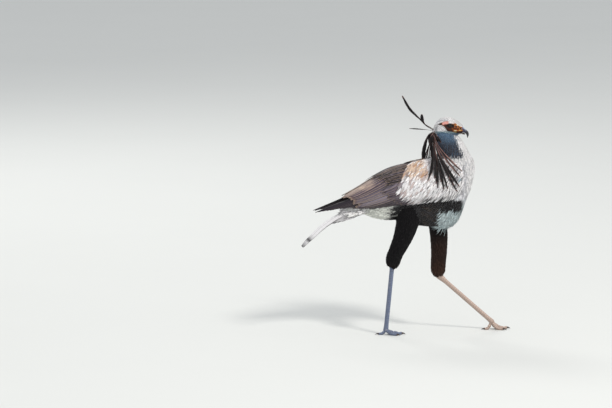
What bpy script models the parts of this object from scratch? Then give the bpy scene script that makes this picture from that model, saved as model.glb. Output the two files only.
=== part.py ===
"""A secretary bird in mid-stride, as the solids of a life-size museum model.

Metres, +Z up. The bird faces +X, its left side is +Y, and the floor is Z = 0,
with the origin on the floor under the middle of the bird's bounding box.
"""

import math

import bmesh
import bpy
import numpy as np

# The gap that touching pieces keep, and how far a cutting block stands clear of what it cuts
GAP = 0.0003
CLEAR = 0.05

# Body, as upright sections from the rump to the breast: x, top, bottom, half width
TRUNK = (
    (-0.220, 0.580, 0.548, 0.016),
    (-0.160, 0.632, 0.512, 0.040),
    (-0.100, 0.672, 0.496, 0.060),
    (-0.040, 0.700, 0.494, 0.074),
    (0.030, 0.716, 0.474, 0.082),
    (0.100, 0.736, 0.462, 0.085),
    (0.170, 0.756, 0.458, 0.082),
    (0.200, 0.767, 0.466, 0.0795),
    (0.225, 0.776, 0.498, 0.0770),
    (0.250, 0.788, 0.556, 0.074),
    (0.304, 0.800, 0.630, 0.062),
)
TRUNK_POWER = 2.15
TRUNK_NOSE = (0.030, 0.062)

# Neck, as level sections from the breast up: z, middle x, half length, half width
NECK = (
    (0.700, 0.208, 0.078, 0.066),
    (0.740, 0.212, 0.080, 0.066),
    (0.770, 0.207, 0.074, 0.058),
    (0.800, 0.199, 0.067, 0.050),
    (0.835, 0.184, 0.060, 0.043),
    (0.862, 0.170, 0.048, 0.037),
    (0.886, 0.165, 0.036, 0.030),
)
NECK_NOSE = (0.020, 0.012)
# The hollow in the nape that the crest leaves through: middle and radii
NAPE_HOLLOW = ((0.118, 0.005, 0.858), (0.014, 0.030, 0.017))

# Head, as upright sections from the nape to the bill's root
HEAD = (
    (0.119, 0.908, 0.852, 0.0260),
    (0.135, 0.921, 0.848, 0.0310),
    (0.152, 0.932, 0.848, 0.0335),
    (0.172, 0.9375, 0.850, 0.0345),
    (0.192, 0.9355, 0.853, 0.0335),
    (0.212, 0.927, 0.856, 0.0290),
    (0.230, 0.9155, 0.859, 0.0225),
    (0.250, 0.897, 0.861, 0.0150),
)
HEAD_POWER = 2.1
HEAD_NOSE = (0.022, 0.004)
HEAD_TURN = math.radians(-10.0)
HEAD_PIVOT_X = 0.170

# Crest: where its feathers leave the nape, and the ones that stand clear of the neck, each as
# its half width and the points of its quill from the root to the tip
CREST_ROOT = (0.1270, 0.0080, 0.8720)
CREST_SINK = 0.010
CREST_SPREAD = 0.0075
RAISED_QUILLS = (
    (0.0062, (0.079, 0.008, 0.908), (0.057, 0.009, 0.931), (0.017, 0.011, 0.971), (-0.017, 0.012, 1.029)),
    (0.0080, (0.092, 0.003, 0.896), (0.075, 0.001, 0.913), (0.068, 0.000, 0.930), (0.066, -0.001, 0.950)),
    (0.0060, (0.104, 0.012, 0.879), (0.080, 0.014, 0.882), (0.050, 0.016, 0.885), (0.016, 0.018, 0.887)),
    (0.0070, (0.100, -0.002, 0.874), (0.080, -0.006, 0.864), (0.058, -0.009, 0.840), (0.043, -0.010, 0.806)),
    (0.0090, (0.106, 0.012, 0.864), (0.092, 0.016, 0.840), (0.082, 0.018, 0.800), (0.074, 0.019, 0.752)),
)
# The ones that hang over the bird's side: side, x and z of the tip, and height above the side
HANGING_QUILLS = (
    (-1, 0.074, 0.671, 0.0125),
    (-1, 0.100, 0.690, 0.0145),
    (-1, 0.122, 0.636, 0.0125),
    (-1, 0.152, 0.636, 0.0145),
    (-1, 0.182, 0.638, 0.0125),
    (-1, 0.212, 0.690, 0.0165),
    (1, 0.092, 0.664, 0.0125),
    (1, 0.146, 0.658, 0.0145),
)
HANGING_HALF_WIDTH = 0.0080
QUILL_OUTLINE = (0.40, 0.48, 0.66, 0.92, 1.0, 0.38)
QUILL_THICKNESS = 0.0007
QUILL_FOLD = 0.18
# How far a hanging one swings out behind the nape, the share of its length over which it spreads
# to the side, the share that stays behind the neck, and the height over which the neck's top ends
QUILL_SWING = 0.032
QUILL_LEAVES = 1.0
QUILL_BEHIND = 0.16
SIDE_SOFTENING = 0.020

# Bill: the upper half from its root to the tip of its hook, and the lower half, each as rows of
# a point on the ridge, the point opposite it on the cutting edge, and the half width there
UPPER_BILL = (
    ((0.2430, 0.9020), (0.2430, 0.8700), 0.0146),
    ((0.2485, 0.8925), (0.2480, 0.8690), 0.0136),
    ((0.2545, 0.8852), (0.2530, 0.8672), 0.0121),
    ((0.2610, 0.8798), (0.2575, 0.8640), 0.0105),
    ((0.2665, 0.8742), (0.2600, 0.8600), 0.0088),
    ((0.2700, 0.8672), (0.2617, 0.8560), 0.0067),
    ((0.2706, 0.8592), (0.2630, 0.8520), 0.0047),
    ((0.2686, 0.8515), (0.2637, 0.8485), 0.0028),
    ((0.2645, 0.8450), (0.2640, 0.8457), 0.0008),
)
LOWER_BILL = (
    ((0.2430, 0.8690), (0.2430, 0.8610), 0.0120),
    ((0.2480, 0.8677), (0.2478, 0.8603), 0.0104),
    ((0.2525, 0.8658), (0.2522, 0.8602), 0.0080),
    ((0.2560, 0.8636), (0.2558, 0.8612), 0.0040),
)
NOSTRIL_X = 0.2485
NOSTRIL_Z = 0.8830
NOSTRIL_SIZE = (0.0038, 0.0030, 0.0018)
NOSTRIL_TILT = math.radians(20.0)
MOUTH_CORNER_X = 0.205
MOUTH_Z = 0.8696
MOUTH_GAP = 0.0012

# Eyes and lids
EYE_RADIUS = 0.0112
EYE_FACETS = (12, 7)
EYE_CENTRE = (0.188, 0.0216, 0.9025)
LID_THICKNESS = 0.0014
LID_OPENING = (0.0090, 0.0200, 0.0062)

# Folded wings: the mantle that they lie on, as x, top, middle, bottom, half width
MANTLE = (
    (-0.430, 0.548, 0.534, 0.512, 0.024),
    (-0.350, 0.572, 0.556, 0.530, 0.034),
    (-0.290, 0.594, 0.574, 0.540, 0.045),
    (-0.220, 0.630, 0.594, 0.543, 0.062),
    (-0.150, 0.673, 0.611, 0.545, 0.080),
    (-0.080, 0.710, 0.627, 0.548, 0.093),
    (0.000, 0.733, 0.642, 0.552, 0.102),
    (0.080, 0.749, 0.652, 0.556, 0.106),
    (0.150, 0.757, 0.660, 0.560, 0.105),
    (0.200, 0.760, 0.664, 0.570, 0.099),
    (0.245, 0.758, 0.668, 0.594, 0.088),
)
CORE_END_X = -0.215
WING_BEND_X = 0.238
BEND_ROUND = 0.045
BEND_SINK = 0.014
# The wing's core from its end to the bend: place, lower and upper edge in degrees round the
# mantle, and thickness
WING_CORE = (
    (0.00, -20.0, 40.0, 0.0088),
    (0.22, -49.0, 68.0, 0.0160),
    (0.50, -58.0, 77.0, 0.0260),
    (0.82, -51.0, 73.0, 0.0255),
    (1.00, -20.0, 26.0, 0.0090),
)
CORE_RIM = 0.06
CORE_ROUNDNESS = 0.6

# Feathers as vanes: thickness, the tilt that shingles neighbours, and each kind's outline,
# as the half width at even steps from root to tip
VANE_THICKNESS = 0.0006
VANE_TILT = 0.0011
COVERT_OUTLINE = (0.34, 0.85, 1.0, 0.86, 0.30)
FLIGHT_OUTLINE = (0.34, 0.8, 0.95, 1.0, 0.88, 0.30)
POINTED_OUTLINE = (0.40, 0.85, 1.0, 0.85, 0.52, 0.12)

# Each tier of a wing, lowest first: name, count, outline, half width, lift at the tips, how much
# more each next feather is lifted, which edge is raised (1 the upper, -1 the lower), points
# across, and the first and the last feather's root and tip, as x and degrees round the mantle
WING_TIERS = (
    ("primary", 4, POINTED_OUTLINE, 0.0120, -0.0026, 0.0008, -1, 3,
     (-0.170, -16.0), (-0.300, -36.0), (-0.170, 24.0), (-0.403, -2.0)),
    ("secondary", 5, COVERT_OUTLINE, 0.0140, 0.0032, 0.0005, -1, 3,
     (0.040, -46.0), (-0.090, -66.0), (-0.070, -8.0), (-0.232, -42.0)),
    ("tertial", 5, FLIGHT_OUTLINE, 0.0150, 0.0044, 0.0006, -1, 3,
     (-0.050, -8.0), (-0.250, -34.0), (-0.085, 60.0), (-0.278, 36.0)),
    ("greater_covert", 6, COVERT_OUTLINE, 0.0165, 0.0068, 0.0, 1, 2,
     (0.206, -26.0), (0.142, -62.0), (0.020, 10.0), (-0.062, -6.0)),
    ("median_covert", 5, COVERT_OUTLINE, 0.0175, 0.0074, 0.0, 1, 2,
     (0.222, -8.0), (0.168, -36.0), (0.062, 30.0), (-0.012, 18.0)),
    ("lesser_covert", 4, COVERT_OUTLINE, 0.0185, 0.0080, 0.0, 1, 2,
     (0.222, 16.0), (0.182, -8.0), (0.120, 46.0), (0.048, 38.0)),
    ("scapular", 5, FLIGHT_OUTLINE, 0.0165, 0.0088, 0.0, 1, 3,
     (0.090, 40.0), (-0.072, 22.0), (-0.010, 76.0), (-0.190, 60.0)),
)
ROOT_SINK = 0.0040
ROOT_RISE = 0.0016

# Tail: the ridge that it droops along from the rump, as distance, x and z, the slope of its tent,
# and the core that its feathers grow from
TAIL_RIDGE = (
    (0.000, -0.1200, 0.5940),
    (0.050, -0.1675, 0.5785),
    (0.100, -0.2146, 0.5620),
    (0.150, -0.2621, 0.5445),
    (0.200, -0.3078, 0.5240),
    (0.250, -0.3508, 0.4985),
    (0.300, -0.3900, 0.4675),
    (0.350, -0.4260, 0.4328),
    (0.405, -0.4640, 0.3930),
)
RIDGE_STEP = 0.002
TENT_SLOPE = math.radians(42.0)
TAIL_CORE = (
    (0.030, 0.034, 0.0245),
    (0.070, 0.038, 0.0255),
    (0.110, 0.038, 0.0235),
    (0.145, 0.033, 0.0180),
    (0.170, 0.024, 0.0100),
)
# Each pair of tail feathers, the middle pair first: length, half width, and distance of its
# root and its tip from the middle
RECTRICES = (
    (0.4020, 0.0145, 0.0060, 0.0090),
    (0.2520, 0.0138, 0.0075, 0.0098),
    (0.2420, 0.0136, 0.0090, 0.0118),
    (0.2290, 0.0132, 0.0105, 0.0138),
    (0.2120, 0.0128, 0.0120, 0.0160),
    (0.1920, 0.0122, 0.0135, 0.0182),
)
RECTRIX_ROOT = 0.050
RECTRIX_STEP = 0.0014
RECTRIX_TILT = 0.0008

# Feathered thighs, as level sections: z, middle x, middle y, half length, half width
REAR_THIGH = (
    (0.580, 0.020, -0.043, 0.052, 0.036),
    (0.530, 0.008, -0.049, 0.054, 0.040),
    (0.480, -0.006, -0.052, 0.051, 0.040),
    (0.430, -0.022, -0.053, 0.046, 0.036),
    (0.380, -0.044, -0.051, 0.041, 0.032),
    (0.340, -0.062, -0.048, 0.036, 0.028),
    (0.314, -0.066, -0.047, 0.031, 0.025),
    (0.294, -0.058, -0.046, 0.020, 0.018),
)
FRONT_THIGH = (
    (0.580, 0.130, 0.043, 0.050, 0.036),
    (0.530, 0.138, 0.049, 0.048, 0.040),
    (0.470, 0.150, 0.052, 0.043, 0.038),
    (0.400, 0.156, 0.053, 0.039, 0.034),
    (0.340, 0.156, 0.052, 0.036, 0.031),
    (0.290, 0.153, 0.050, 0.034, 0.028),
    (0.255, 0.152, 0.048, 0.031, 0.026),
    (0.236, 0.154, 0.047, 0.023, 0.020),
)

# Shanks, from the ankle to the root of the toes, and how far each foot is turned
REAR_ANKLE = (-0.068, -0.046, 0.322)
REAR_SOLE = (-0.091, -0.018, 0.021)
REAR_TURN = math.radians(-6.0)
FRONT_ANKLE = (0.158, 0.047, 0.238)
FRONT_SOLE = (0.386, 0.030, 0.036)
FRONT_TURN = math.radians(4.0)
SHANK_HALF_DEPTH = 0.0092
SHANK_HALF_WIDTH = 0.0074
ANKLE_SWELL = 0.45
ANKLE_RUN = 0.075
SOLE_SWELL = 0.16
SOLE_RUN = 0.05
SHANK_START = -0.035
SCUTES = 12
SCUTE_STEP = 0.0009
SCUTE_RAMP = 0.001
THIGH_NOSE = (0.020, 0.020)
# Toes, as spread, length and root radius, and their claws
TOES = (
    ("inner", math.radians(-34.0), 0.052, 0.0078),
    ("middle", math.radians(0.0), 0.068, 0.0082),
    ("outer", math.radians(34.0), 0.054, 0.0078),
    ("hind", math.radians(180.0), 0.030, 0.0068),
)
TOE_DROP = 0.62
TOE_TAPER = 0.28
TOE_PADS = 0.10
SOLE_CUT = 0.0012
PAD_RADIUS = 0.0112
CLAW_LENGTH = 0.019
CLAW_SEAT = 0.0015
CLAW_ARCH = 0.0016
CLAW_END_HEIGHT = 0.0016
CLAW_END_RADIUS = 0.0008
CLAW_CLEARANCE = 0.0004

# Colours, as linear red, green, blue, with roughness
COLOURS = {
    "grey_plumage": ((0.55, 0.55, 0.58), 0.8),
    "black_plumage": ((0.015, 0.014, 0.017), 0.7),
    "white_plumage": ((0.72, 0.71, 0.70), 0.8),
    "horn": ((0.05, 0.05, 0.06), 0.4),
    "bill": ((0.22, 0.24, 0.28), 0.4),
    "eye": ((0.03, 0.015, 0.01), 0.1),
    "scales": ((0.42, 0.33, 0.28), 0.6),
}


def spline(table, at):
    """Every column of a table as a smooth curve of its first column, read at some places."""
    rows = np.array(table, float)
    knots = rows[:, 0]
    slopes = np.gradient(rows[:, 1:], knots, axis=0)
    at = np.clip(np.asarray(at, float), knots[0], knots[-1])
    cell = np.clip(np.searchsorted(knots, at, side="right") - 1, 0, len(knots) - 2)
    step = knots[cell + 1] - knots[cell]
    t = ((at - knots[cell]) / step)[:, None]
    step = step[:, None]
    here, there = rows[cell, 1:], rows[cell + 1, 1:]
    return (
        here * (1 + 2 * t) * (1 - t) ** 2
        + slopes[cell] * step * t * (1 - t) ** 2
        + there * t * t * (3 - 2 * t)
        + slopes[cell + 1] * step * t * t * (t - 1)
    )


def increasing(table):
    """A table whose first column falls, turned round for spline."""
    return tuple(sorted(table))


def eased(low, high, count):
    """Places from low to high that crowd towards both ends, where a form rounds off."""
    return low + (high - low) * (1 - np.cos(np.linspace(0, np.pi, count))) / 2


def rounding(at, low, high, noses):
    """1 along a form, falling as an ellipse does to 0 over the length of each nose."""
    start = np.clip((low + noses[0] - at) / noses[0], 0, 1)
    end = np.clip((at - high + noses[1]) / noses[1], 0, 1)
    return np.sqrt(np.clip(1 - start**2, 0, 1) * np.clip(1 - end**2, 0, 1))


def ring_faces(rings, sides):
    """Triangles of a closed tube of rings, each end filled from a point."""
    faces = []
    for i in range(rings - 1):
        for j in range(sides):
            a, b = i * sides + j, i * sides + (j + 1) % sides
            c, d = b + sides, a + sides
            faces += [(a, b, c), (a, c, d)]
    first, last = rings * sides, rings * sides + 1
    for j in range(sides):
        k = (j + 1) % sides
        faces.append((first, k, j))
        faces.append((last, (rings - 1) * sides + j, (rings - 1) * sides + k))
    return faces


def closed_tube(rings):
    """Points and triangles of a tube through an array of rings."""
    rings = np.asarray(rings, float)
    ends = [rings[0].mean(axis=0), rings[-1].mean(axis=0)]
    points = np.concatenate([rings.reshape(-1, 3), ends])
    return points, ring_faces(len(rings), rings.shape[1])


def upright_loft(table, noses, power, steps, sides, grow=0.0):
    """A form of upright sections, each a soft rectangle, square across x."""
    low, high = table[0][0] - grow, table[-1][0] + grow
    x = eased(low, high, steps + 2)[1:-1]
    top, bottom, half = spline(table, x).T
    swell = rounding(x, low, high, noses)
    middle = (top + bottom) / 2
    up = (top - middle) * swell + grow
    half = half * swell + grow
    angle = np.linspace(0, 2 * np.pi, sides, endpoint=False)
    across = np.sign(np.cos(angle)) * np.abs(np.cos(angle)) ** (2 / power)
    rise = np.sign(np.sin(angle)) * np.abs(np.sin(angle)) ** (2 / power)
    rings = np.empty((steps, sides, 3))
    rings[:, :, 0] = x[:, None]
    rings[:, :, 1] = half[:, None] * across
    rings[:, :, 2] = middle[:, None] + up[:, None] * rise
    return closed_tube(rings)


def level_loft(table, noses, steps, sides, grow=0.0):
    """A form of level oval sections: z, middle x, middle y, half length, half width."""
    rows = increasing(table)
    low, high = rows[0][0] - grow, rows[-1][0] + grow
    z = eased(low, high, steps + 2)[1:-1]
    middle_x, middle_y, length, width = spline(rows, z).T
    swell = rounding(z, low, high, noses)
    angle = np.linspace(0, 2 * np.pi, sides, endpoint=False)
    rings = np.empty((steps, sides, 3))
    rings[:, :, 0] = middle_x[:, None] + (length * swell + grow)[:, None] * np.cos(angle)
    rings[:, :, 1] = middle_y[:, None] + (width * swell + grow)[:, None] * np.sin(angle)
    rings[:, :, 2] = z[:, None]
    return closed_tube(rings)


def path_tube(path, depth, width, sides, side_axis=(0.0, 1.0, 0.0)):
    """An oval tube along a path, deep across side_axis and wide along it."""
    path = np.asarray(path, float)
    ahead = np.gradient(path, axis=0)
    ahead /= np.linalg.norm(ahead, axis=1)[:, None]
    over = np.cross(ahead, side_axis)
    over /= np.linalg.norm(over, axis=1)[:, None]
    out = np.cross(over, ahead)
    angle = np.linspace(0, 2 * np.pi, sides, endpoint=False)
    rings = (
        path[:, None]
        + np.asarray(depth)[:, None, None] * np.cos(angle)[None, :, None] * over[:, None]
        + np.asarray(width)[:, None, None] * np.sin(angle)[None, :, None] * out[:, None]
    )
    return closed_tube(rings)


def vane(top, under):
    """A thin closed blade from two grids of points, split into triangles alike on both faces."""
    count, across = top.shape[:2]
    half = count * across
    faces = []
    for i in range(count - 1):
        for j in range(across - 1):
            a, b = i * across + j, i * across + j + 1
            c, d = b + across, a + across
            split = [(a, b, c), (a, c, d)] if j % 2 else [(a, b, d), (b, c, d)]
            faces += split
            faces += [tuple(v + half for v in reversed(face)) for face in split]
    rim = list(range(across))
    rim += [i * across + across - 1 for i in range(1, count)]
    rim += [(count - 1) * across + j for j in range(across - 2, -1, -1)]
    rim += [i * across for i in range(count - 2, 0, -1)]
    for p, q in zip(rim, rim[1:] + rim[:1]):
        faces += [(p, p + half, q), (q, p + half, q + half)]
    return np.concatenate([top.reshape(-1, 3), under.reshape(-1, 3)]), faces


def ball(centre, radii, sides=14, rings=8, tilt=0.0):
    """An ellipsoid, turned about Y by tilt."""
    polar = np.linspace(0, np.pi, rings + 2)[1:-1]
    angle = np.linspace(0, 2 * np.pi, sides, endpoint=False)
    unit = np.empty((rings, sides, 3))
    unit[:, :, 0] = np.sin(polar)[:, None] * np.cos(angle)
    unit[:, :, 1] = np.sin(polar)[:, None] * np.sin(angle)
    unit[:, :, 2] = -np.cos(polar)[:, None]
    points, faces = closed_tube(unit)
    points[-2:] = (0, 0, -1), (0, 0, 1)
    points = points * radii
    c, s = math.cos(tilt), math.sin(tilt)
    turned = points @ np.array([[c, 0, s], [0, 1, 0], [-s, 0, c]]).T
    return turned + np.asarray(centre), faces


def box(low, high):
    """A block between two corners."""
    corners = np.array([(x, y, z) for x in (0, 1) for y in (0, 1) for z in (0, 1)], float)
    faces = [
        (0, 1, 3, 2),
        (4, 6, 7, 5),
        (0, 4, 5, 1),
        (2, 3, 7, 6),
        (0, 2, 6, 4),
        (1, 5, 7, 3),
    ]
    low, high = np.asarray(low, float), np.asarray(high, float)
    return low + corners * (high - low), faces


def mirrored(shape):
    """The same shape on the other side of the bird's middle plane."""
    points, faces = shape
    return points * (1, -1, 1), [tuple(reversed(face)) for face in faces]


def turned_head(shape):
    """A shape of the head, turned with it towards the bird's right."""
    points, faces = shape
    c, s = math.cos(HEAD_TURN), math.sin(HEAD_TURN)
    pivot = np.array((HEAD_PIVOT_X, 0.0, 0.0))
    turn = np.array([[c, -s, 0], [s, c, 0], [0, 0, 1]])
    return (points - pivot) @ turn.T + pivot, faces


def material(name):
    """A plain finish in one of the named colours."""
    found = bpy.data.materials.get(name)
    if found:
        return found
    made = bpy.data.materials.new(name)
    made.use_nodes = True
    colour, roughness = COLOURS[name]
    shader = made.node_tree.nodes["Principled BSDF"]
    shader.inputs["Base Color"].default_value = (*colour, 1)
    shader.inputs["Roughness"].default_value = roughness
    return made


def solid(name, shape, colour=None):
    """A mesh object from points and faces, with its faces pointing out."""
    points, faces = shape
    mesh = bpy.data.meshes.new(name)
    mesh.from_pydata([tuple(p) for p in points], [], [tuple(f) for f in faces])
    work = bmesh.new()
    work.from_mesh(mesh)
    bmesh.ops.recalc_face_normals(work, faces=work.faces)
    work.to_mesh(mesh)
    work.free()
    made = bpy.data.objects.new(name, mesh)
    bpy.context.scene.collection.objects.link(made)
    if colour:
        made.data.materials.append(material(colour))
    return made


def largest_shell(mesh):
    """Keeps only the closed surface of a mesh that holds the most, so no scrap or sealed hollow stays."""
    work = bmesh.new()
    work.from_mesh(mesh)
    bmesh.ops.triangulate(work, faces=work.faces)
    left = set(work.faces)
    shells = []
    while left:
        front = [left.pop()]
        shell = list(front)
        while front:
            for edge in front.pop().edges:
                for face in edge.link_faces:
                    if face in left:
                        left.remove(face)
                        front.append(face)
                        shell.append(face)
        volume = sum(
            f.verts[0].co.dot(f.verts[1].co.cross(f.verts[2].co)) for f in shell
        )
        shells.append((volume, shell))
    shells.sort(key=lambda item: item[0])
    for _, shell in shells[:-1]:
        bmesh.ops.delete(work, geom=shell, context="FACES")
    loose = [v for v in work.verts if not v.link_faces]
    bmesh.ops.delete(work, geom=loose, context="VERTS")
    work.to_mesh(mesh)
    work.free()


def combined(target, operation, shapes, solver):
    """Joins shapes to an object, or cuts them from it, by one Boolean that is applied."""
    tools = bpy.data.collections.new("tools")
    bpy.context.scene.collection.children.link(tools)
    made = [solid(f"tool_{i}", shape) for i, shape in enumerate(shapes)]
    for tool in made:
        tools.objects.link(tool)
    step = target.modifiers.new("combine", "BOOLEAN")
    step.operation = operation
    step.solver = solver
    step.operand_type = "COLLECTION"
    step.collection = tools
    bpy.context.view_layer.update()
    graph = bpy.context.evaluated_depsgraph_get()
    result = bpy.data.meshes.new_from_object(target.evaluated_get(graph))
    target.modifiers.remove(step)
    target.data = result
    largest_shell(result)
    for tool in made:
        bpy.data.objects.remove(tool)
    bpy.data.collections.remove(tools)
    return target


def joined(target, shapes, solver="EXACT"):
    """The union of an object and some shapes."""
    return combined(target, "UNION", shapes, solver)


def cut(target, shapes, solver="EXACT"):
    """An object less some shapes."""
    return combined(target, "DIFFERENCE", shapes, solver)


def trunk_shape(grow=0.0):
    """The body's own form, under the wings."""
    return upright_loft(TRUNK, TRUNK_NOSE, TRUNK_POWER, 19, 20, grow)


def neck_shape(grow=0.0):
    """The neck, full with loose feathers, from inside the breast to inside the head."""
    rows = [(z, x, 0.0, length, width) for z, x, length, width in NECK]
    return level_loft(rows, NECK_NOSE, 10, 18, grow)


def head_shape(grow=0.0):
    """The skull with its short feathers, from the nape to the bill."""
    return turned_head(upright_loft(HEAD, HEAD_NOSE, HEAD_POWER, 14, 18, grow))


def on_side(side, point):
    """A point named for the bird's left, on the side asked for."""
    x, y, z = point
    return x, side * y, z


def build_trunk():
    """The body."""
    return solid("trunk", trunk_shape(), "grey_plumage")


def build_neck():
    """The neck, seated on the body and under the head."""
    neck = solid("neck", neck_shape(), "white_plumage")
    return cut(neck, [trunk_shape(GAP), head_shape(GAP), ball(*NAPE_HOLLOW, 10, 5)])


def eye_works():
    """The lids that are joined to the head, and the sockets and lid openings cut in it."""
    added, removed = [], []
    for side in (1, -1):
        x, y, z = on_side(side, EYE_CENTRE)
        lid = EYE_RADIUS + LID_THICKNESS
        added.append(turned_head(ball((x, y, z), (lid, lid, lid))))
        socket = EYE_RADIUS + GAP
        removed.append(turned_head(ball((x, y, z), (socket, socket, socket), *EYE_FACETS)))
        opening = (x, y + side * LID_OPENING[1], z)
        removed.append(turned_head(ball(opening, LID_OPENING, 14, 6)))
    return added, removed


def side_reach(x, z, clearance):
    """How far out a place beside the bird keeps a clearance from its neck, trunk and wing."""
    neck = increasing([(h, at, 0.0, length, width) for h, at, length, width in NECK])
    neck_x, _, length, width = spline(neck, z).T
    inside = np.clip(1 - ((x - neck_x) / (length + clearance)) ** 2, 0, 1)
    high = np.clip((z - NECK[-1][0]) / SIDE_SOFTENING, 0, 1)
    neck_reach = (width + clearance) * np.sqrt(inside) * (1 - high)
    top, middle, bottom, half = spline(MANTLE, x).T
    room = np.where(z > middle, top - middle, middle - bottom) + clearance
    wing_reach = (half + clearance) * np.sqrt(np.clip(1 - ((z - middle) / room) ** 2, 0, 1))
    return np.maximum(neck_reach, wing_reach)


def hanging_quill(root, side, tip_x, tip_z, clearance):
    """The middle line of a crest feather that falls from behind the nape over the bird's side."""
    t = np.linspace(0, 1, 16)
    x = root[0] + (tip_x - root[0]) * t**2 - QUILL_SWING * np.sin(np.pi * t**0.6)
    z = root[2] + (tip_z - root[2]) * t**1.15
    reach = side_reach(x, z, clearance)
    leave = np.clip(t / QUILL_LEAVES, 0, 1)
    spread = reach.max() * leave * leave * (3 - 2 * leave)
    y = np.where(t > QUILL_BEHIND, np.maximum(reach, spread), spread)
    for _ in range(2):
        y = np.convolve(np.pad(y, 1, mode="edge"), (0.25, 0.5, 0.25), mode="valid")
    return np.column_stack([x, root[1] * (1 - leave) + side * y, z])


def quill_shape(line, out, half_width, points_across):
    """A crest feather along its quill, narrow at first and widest near its end."""
    count = len(QUILL_OUTLINE)
    place = np.linspace(0, 1, len(line))
    at = np.linspace(0, 1, count)
    middle = spline(np.column_stack([place, line]), at)
    ahead = np.gradient(middle, axis=0)
    ahead /= np.linalg.norm(ahead, axis=1)[:, None]
    across = np.cross(ahead, out)
    across /= np.linalg.norm(across, axis=1)[:, None]
    normal = np.cross(across, ahead)
    half = half_width * np.array(QUILL_OUTLINE)
    edge = np.linspace(-1, 1, points_across)
    grid = middle[:, None] + (half[:, None] * edge)[..., None] * across[:, None]
    fold = (QUILL_FOLD * half[:, None] * np.abs(edge))[..., None] * normal[:, None]
    top = grid - fold + normal[:, None] * QUILL_THICKNESS / 2
    return vane(top, top - normal[:, None] * QUILL_THICKNESS)


def crest_shapes():
    """Every feather of the crest."""
    root = np.array(CREST_ROOT)
    shapes = []
    for i, (half_width, *points) in enumerate(RAISED_QUILLS):
        place = root + CREST_SPREAD * np.array((0.0, 0.5 * (-1) ** i, 1.0 - i / 2))
        first = np.array(points[0]) - place
        start = place - first / np.linalg.norm(first) * CREST_SINK
        line = np.array([start, *points])
        shapes.append(quill_shape(line, (0.0, -1.0, 0.0), half_width, 3))
    for i, (side, tip_x, tip_z, clearance) in enumerate(HANGING_QUILLS):
        place = root + CREST_SPREAD * np.array((0.2 * (i % 3), 1.4 * side, 1.2 - 0.5 * (i % 4)))
        line = hanging_quill(place, side, tip_x, tip_z, clearance)
        line = np.concatenate([[line[0] + (CREST_SINK, 0.0, 0.0)], line])
        out = np.array((0.0, float(side), 0.25))
        shapes.append(quill_shape(line, out, HANGING_HALF_WIDTH, 2))
    return shapes


def build_head():
    """The head, with lids and the corners of the mouth, and the crest at the nape."""
    head = solid("head", head_shape(), "white_plumage")
    added, removed = eye_works()
    joined(head, added)
    mouth = box(
        (MOUTH_CORNER_X, -CLEAR, MOUTH_Z - MOUTH_GAP / 2),
        (HEAD[-1][0] + CLEAR, CLEAR, MOUTH_Z + MOUTH_GAP / 2),
    )
    cut(head, removed + [turned_head(mouth)])
    cut(head, [turned_head(bill_root_shape())])
    return joined(head, crest_shapes())


def bill_root_shape():
    """The space in front of the face that the bill's two halves fill."""
    front, top = UPPER_BILL[0][0]
    return box((front - GAP, -CLEAR, top - CLEAR * 2), (front + CLEAR, CLEAR, top + CLEAR))


def bill_shape(rows, sides):
    """Half a bill through oval rings, each between a point of its ridge and one of its edge."""
    ridge = np.array([(x, 0.0, z) for (x, z), _, _ in rows])
    edge = np.array([(x, 0.0, z) for _, (x, z), _ in rows])
    width = np.array([(0.0, half, 0.0) for _, _, half in rows])
    angle = np.linspace(0, 2 * np.pi, sides, endpoint=False)[:, None]
    up = (ridge - edge)[:, None] / 2
    rings = (ridge + edge)[:, None] / 2 + np.cos(angle) * up + np.sin(angle) * width[:, None]
    return turned_head(closed_tube(rings))


def build_bill():
    """The upper half of the bill, hooked and with nostrils, and the lower half."""
    upper = solid("bill_upper", bill_shape(UPPER_BILL, 12), "bill")
    holes = []
    for side in (1, -1):
        centre = (NOSTRIL_X, side * UPPER_BILL[1][2], NOSTRIL_Z)
        holes.append(turned_head(ball(centre, NOSTRIL_SIZE, 8, 4, NOSTRIL_TILT)))
    cut(upper, holes)
    solid("bill_lower", bill_shape(LOWER_BILL, 10), "bill")


def build_eyes():
    """The two eyeballs, in their sockets."""
    radii = (EYE_RADIUS, EYE_RADIUS, EYE_RADIUS)
    for name, side in (("eye_left", 1), ("eye_right", -1)):
        solid(name, turned_head(ball(on_side(side, EYE_CENTRE), radii, *EYE_FACETS)), "eye")


def mantle(x, angle, lift):
    """Points over the bird's left side that the folded wing lies on, raised by lift."""
    x, angle, lift = np.broadcast_arrays(x, angle, lift)
    top, middle, bottom, half = spline(MANTLE, x.ravel()).T.reshape(4, *x.shape)
    reach = np.where(angle > 0, top - middle, middle - bottom)
    out = np.stack([np.cos(angle) / half, np.sin(angle) / reach])
    out /= np.linalg.norm(out, axis=0)
    y = half * np.cos(angle) + lift * out[0]
    z = middle + reach * np.sin(angle) + lift * out[1]
    return np.stack([x, y, z], axis=-1)


def wing_core_shape():
    """The part of the folded wing that its feathers grow from, rounded off at the bend."""
    steps, arc = 10, 7
    x = np.linspace(CORE_END_X, WING_BEND_X, steps)
    along = (x - CORE_END_X) / (WING_BEND_X - CORE_END_X)
    places, lower, upper, depths = np.array(WING_CORE).T
    low = np.interp(along, places, np.radians(lower))
    high = np.interp(along, places, np.radians(upper))
    near_bend = np.clip((x - WING_BEND_X + BEND_ROUND) / BEND_ROUND, 0, 1)
    sink = BEND_SINK * (1 - np.sqrt(1 - near_bend**2))
    depth = np.interp(along, places, depths)
    part = np.linspace(0, 1, arc)
    angle = low[:, None] + (high - low)[:, None] * part
    outer = mantle(x[:, None], angle, -sink[:, None])
    thin = np.sin(np.pi * np.clip(part, CORE_RIM, 1 - CORE_RIM)) ** CORE_ROUNDNESS
    inner = mantle(x[:, None], angle, -sink[:, None] - depth[:, None] * thin)
    return closed_tube(np.concatenate([outer, inner[:, ::-1]], axis=1))


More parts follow.
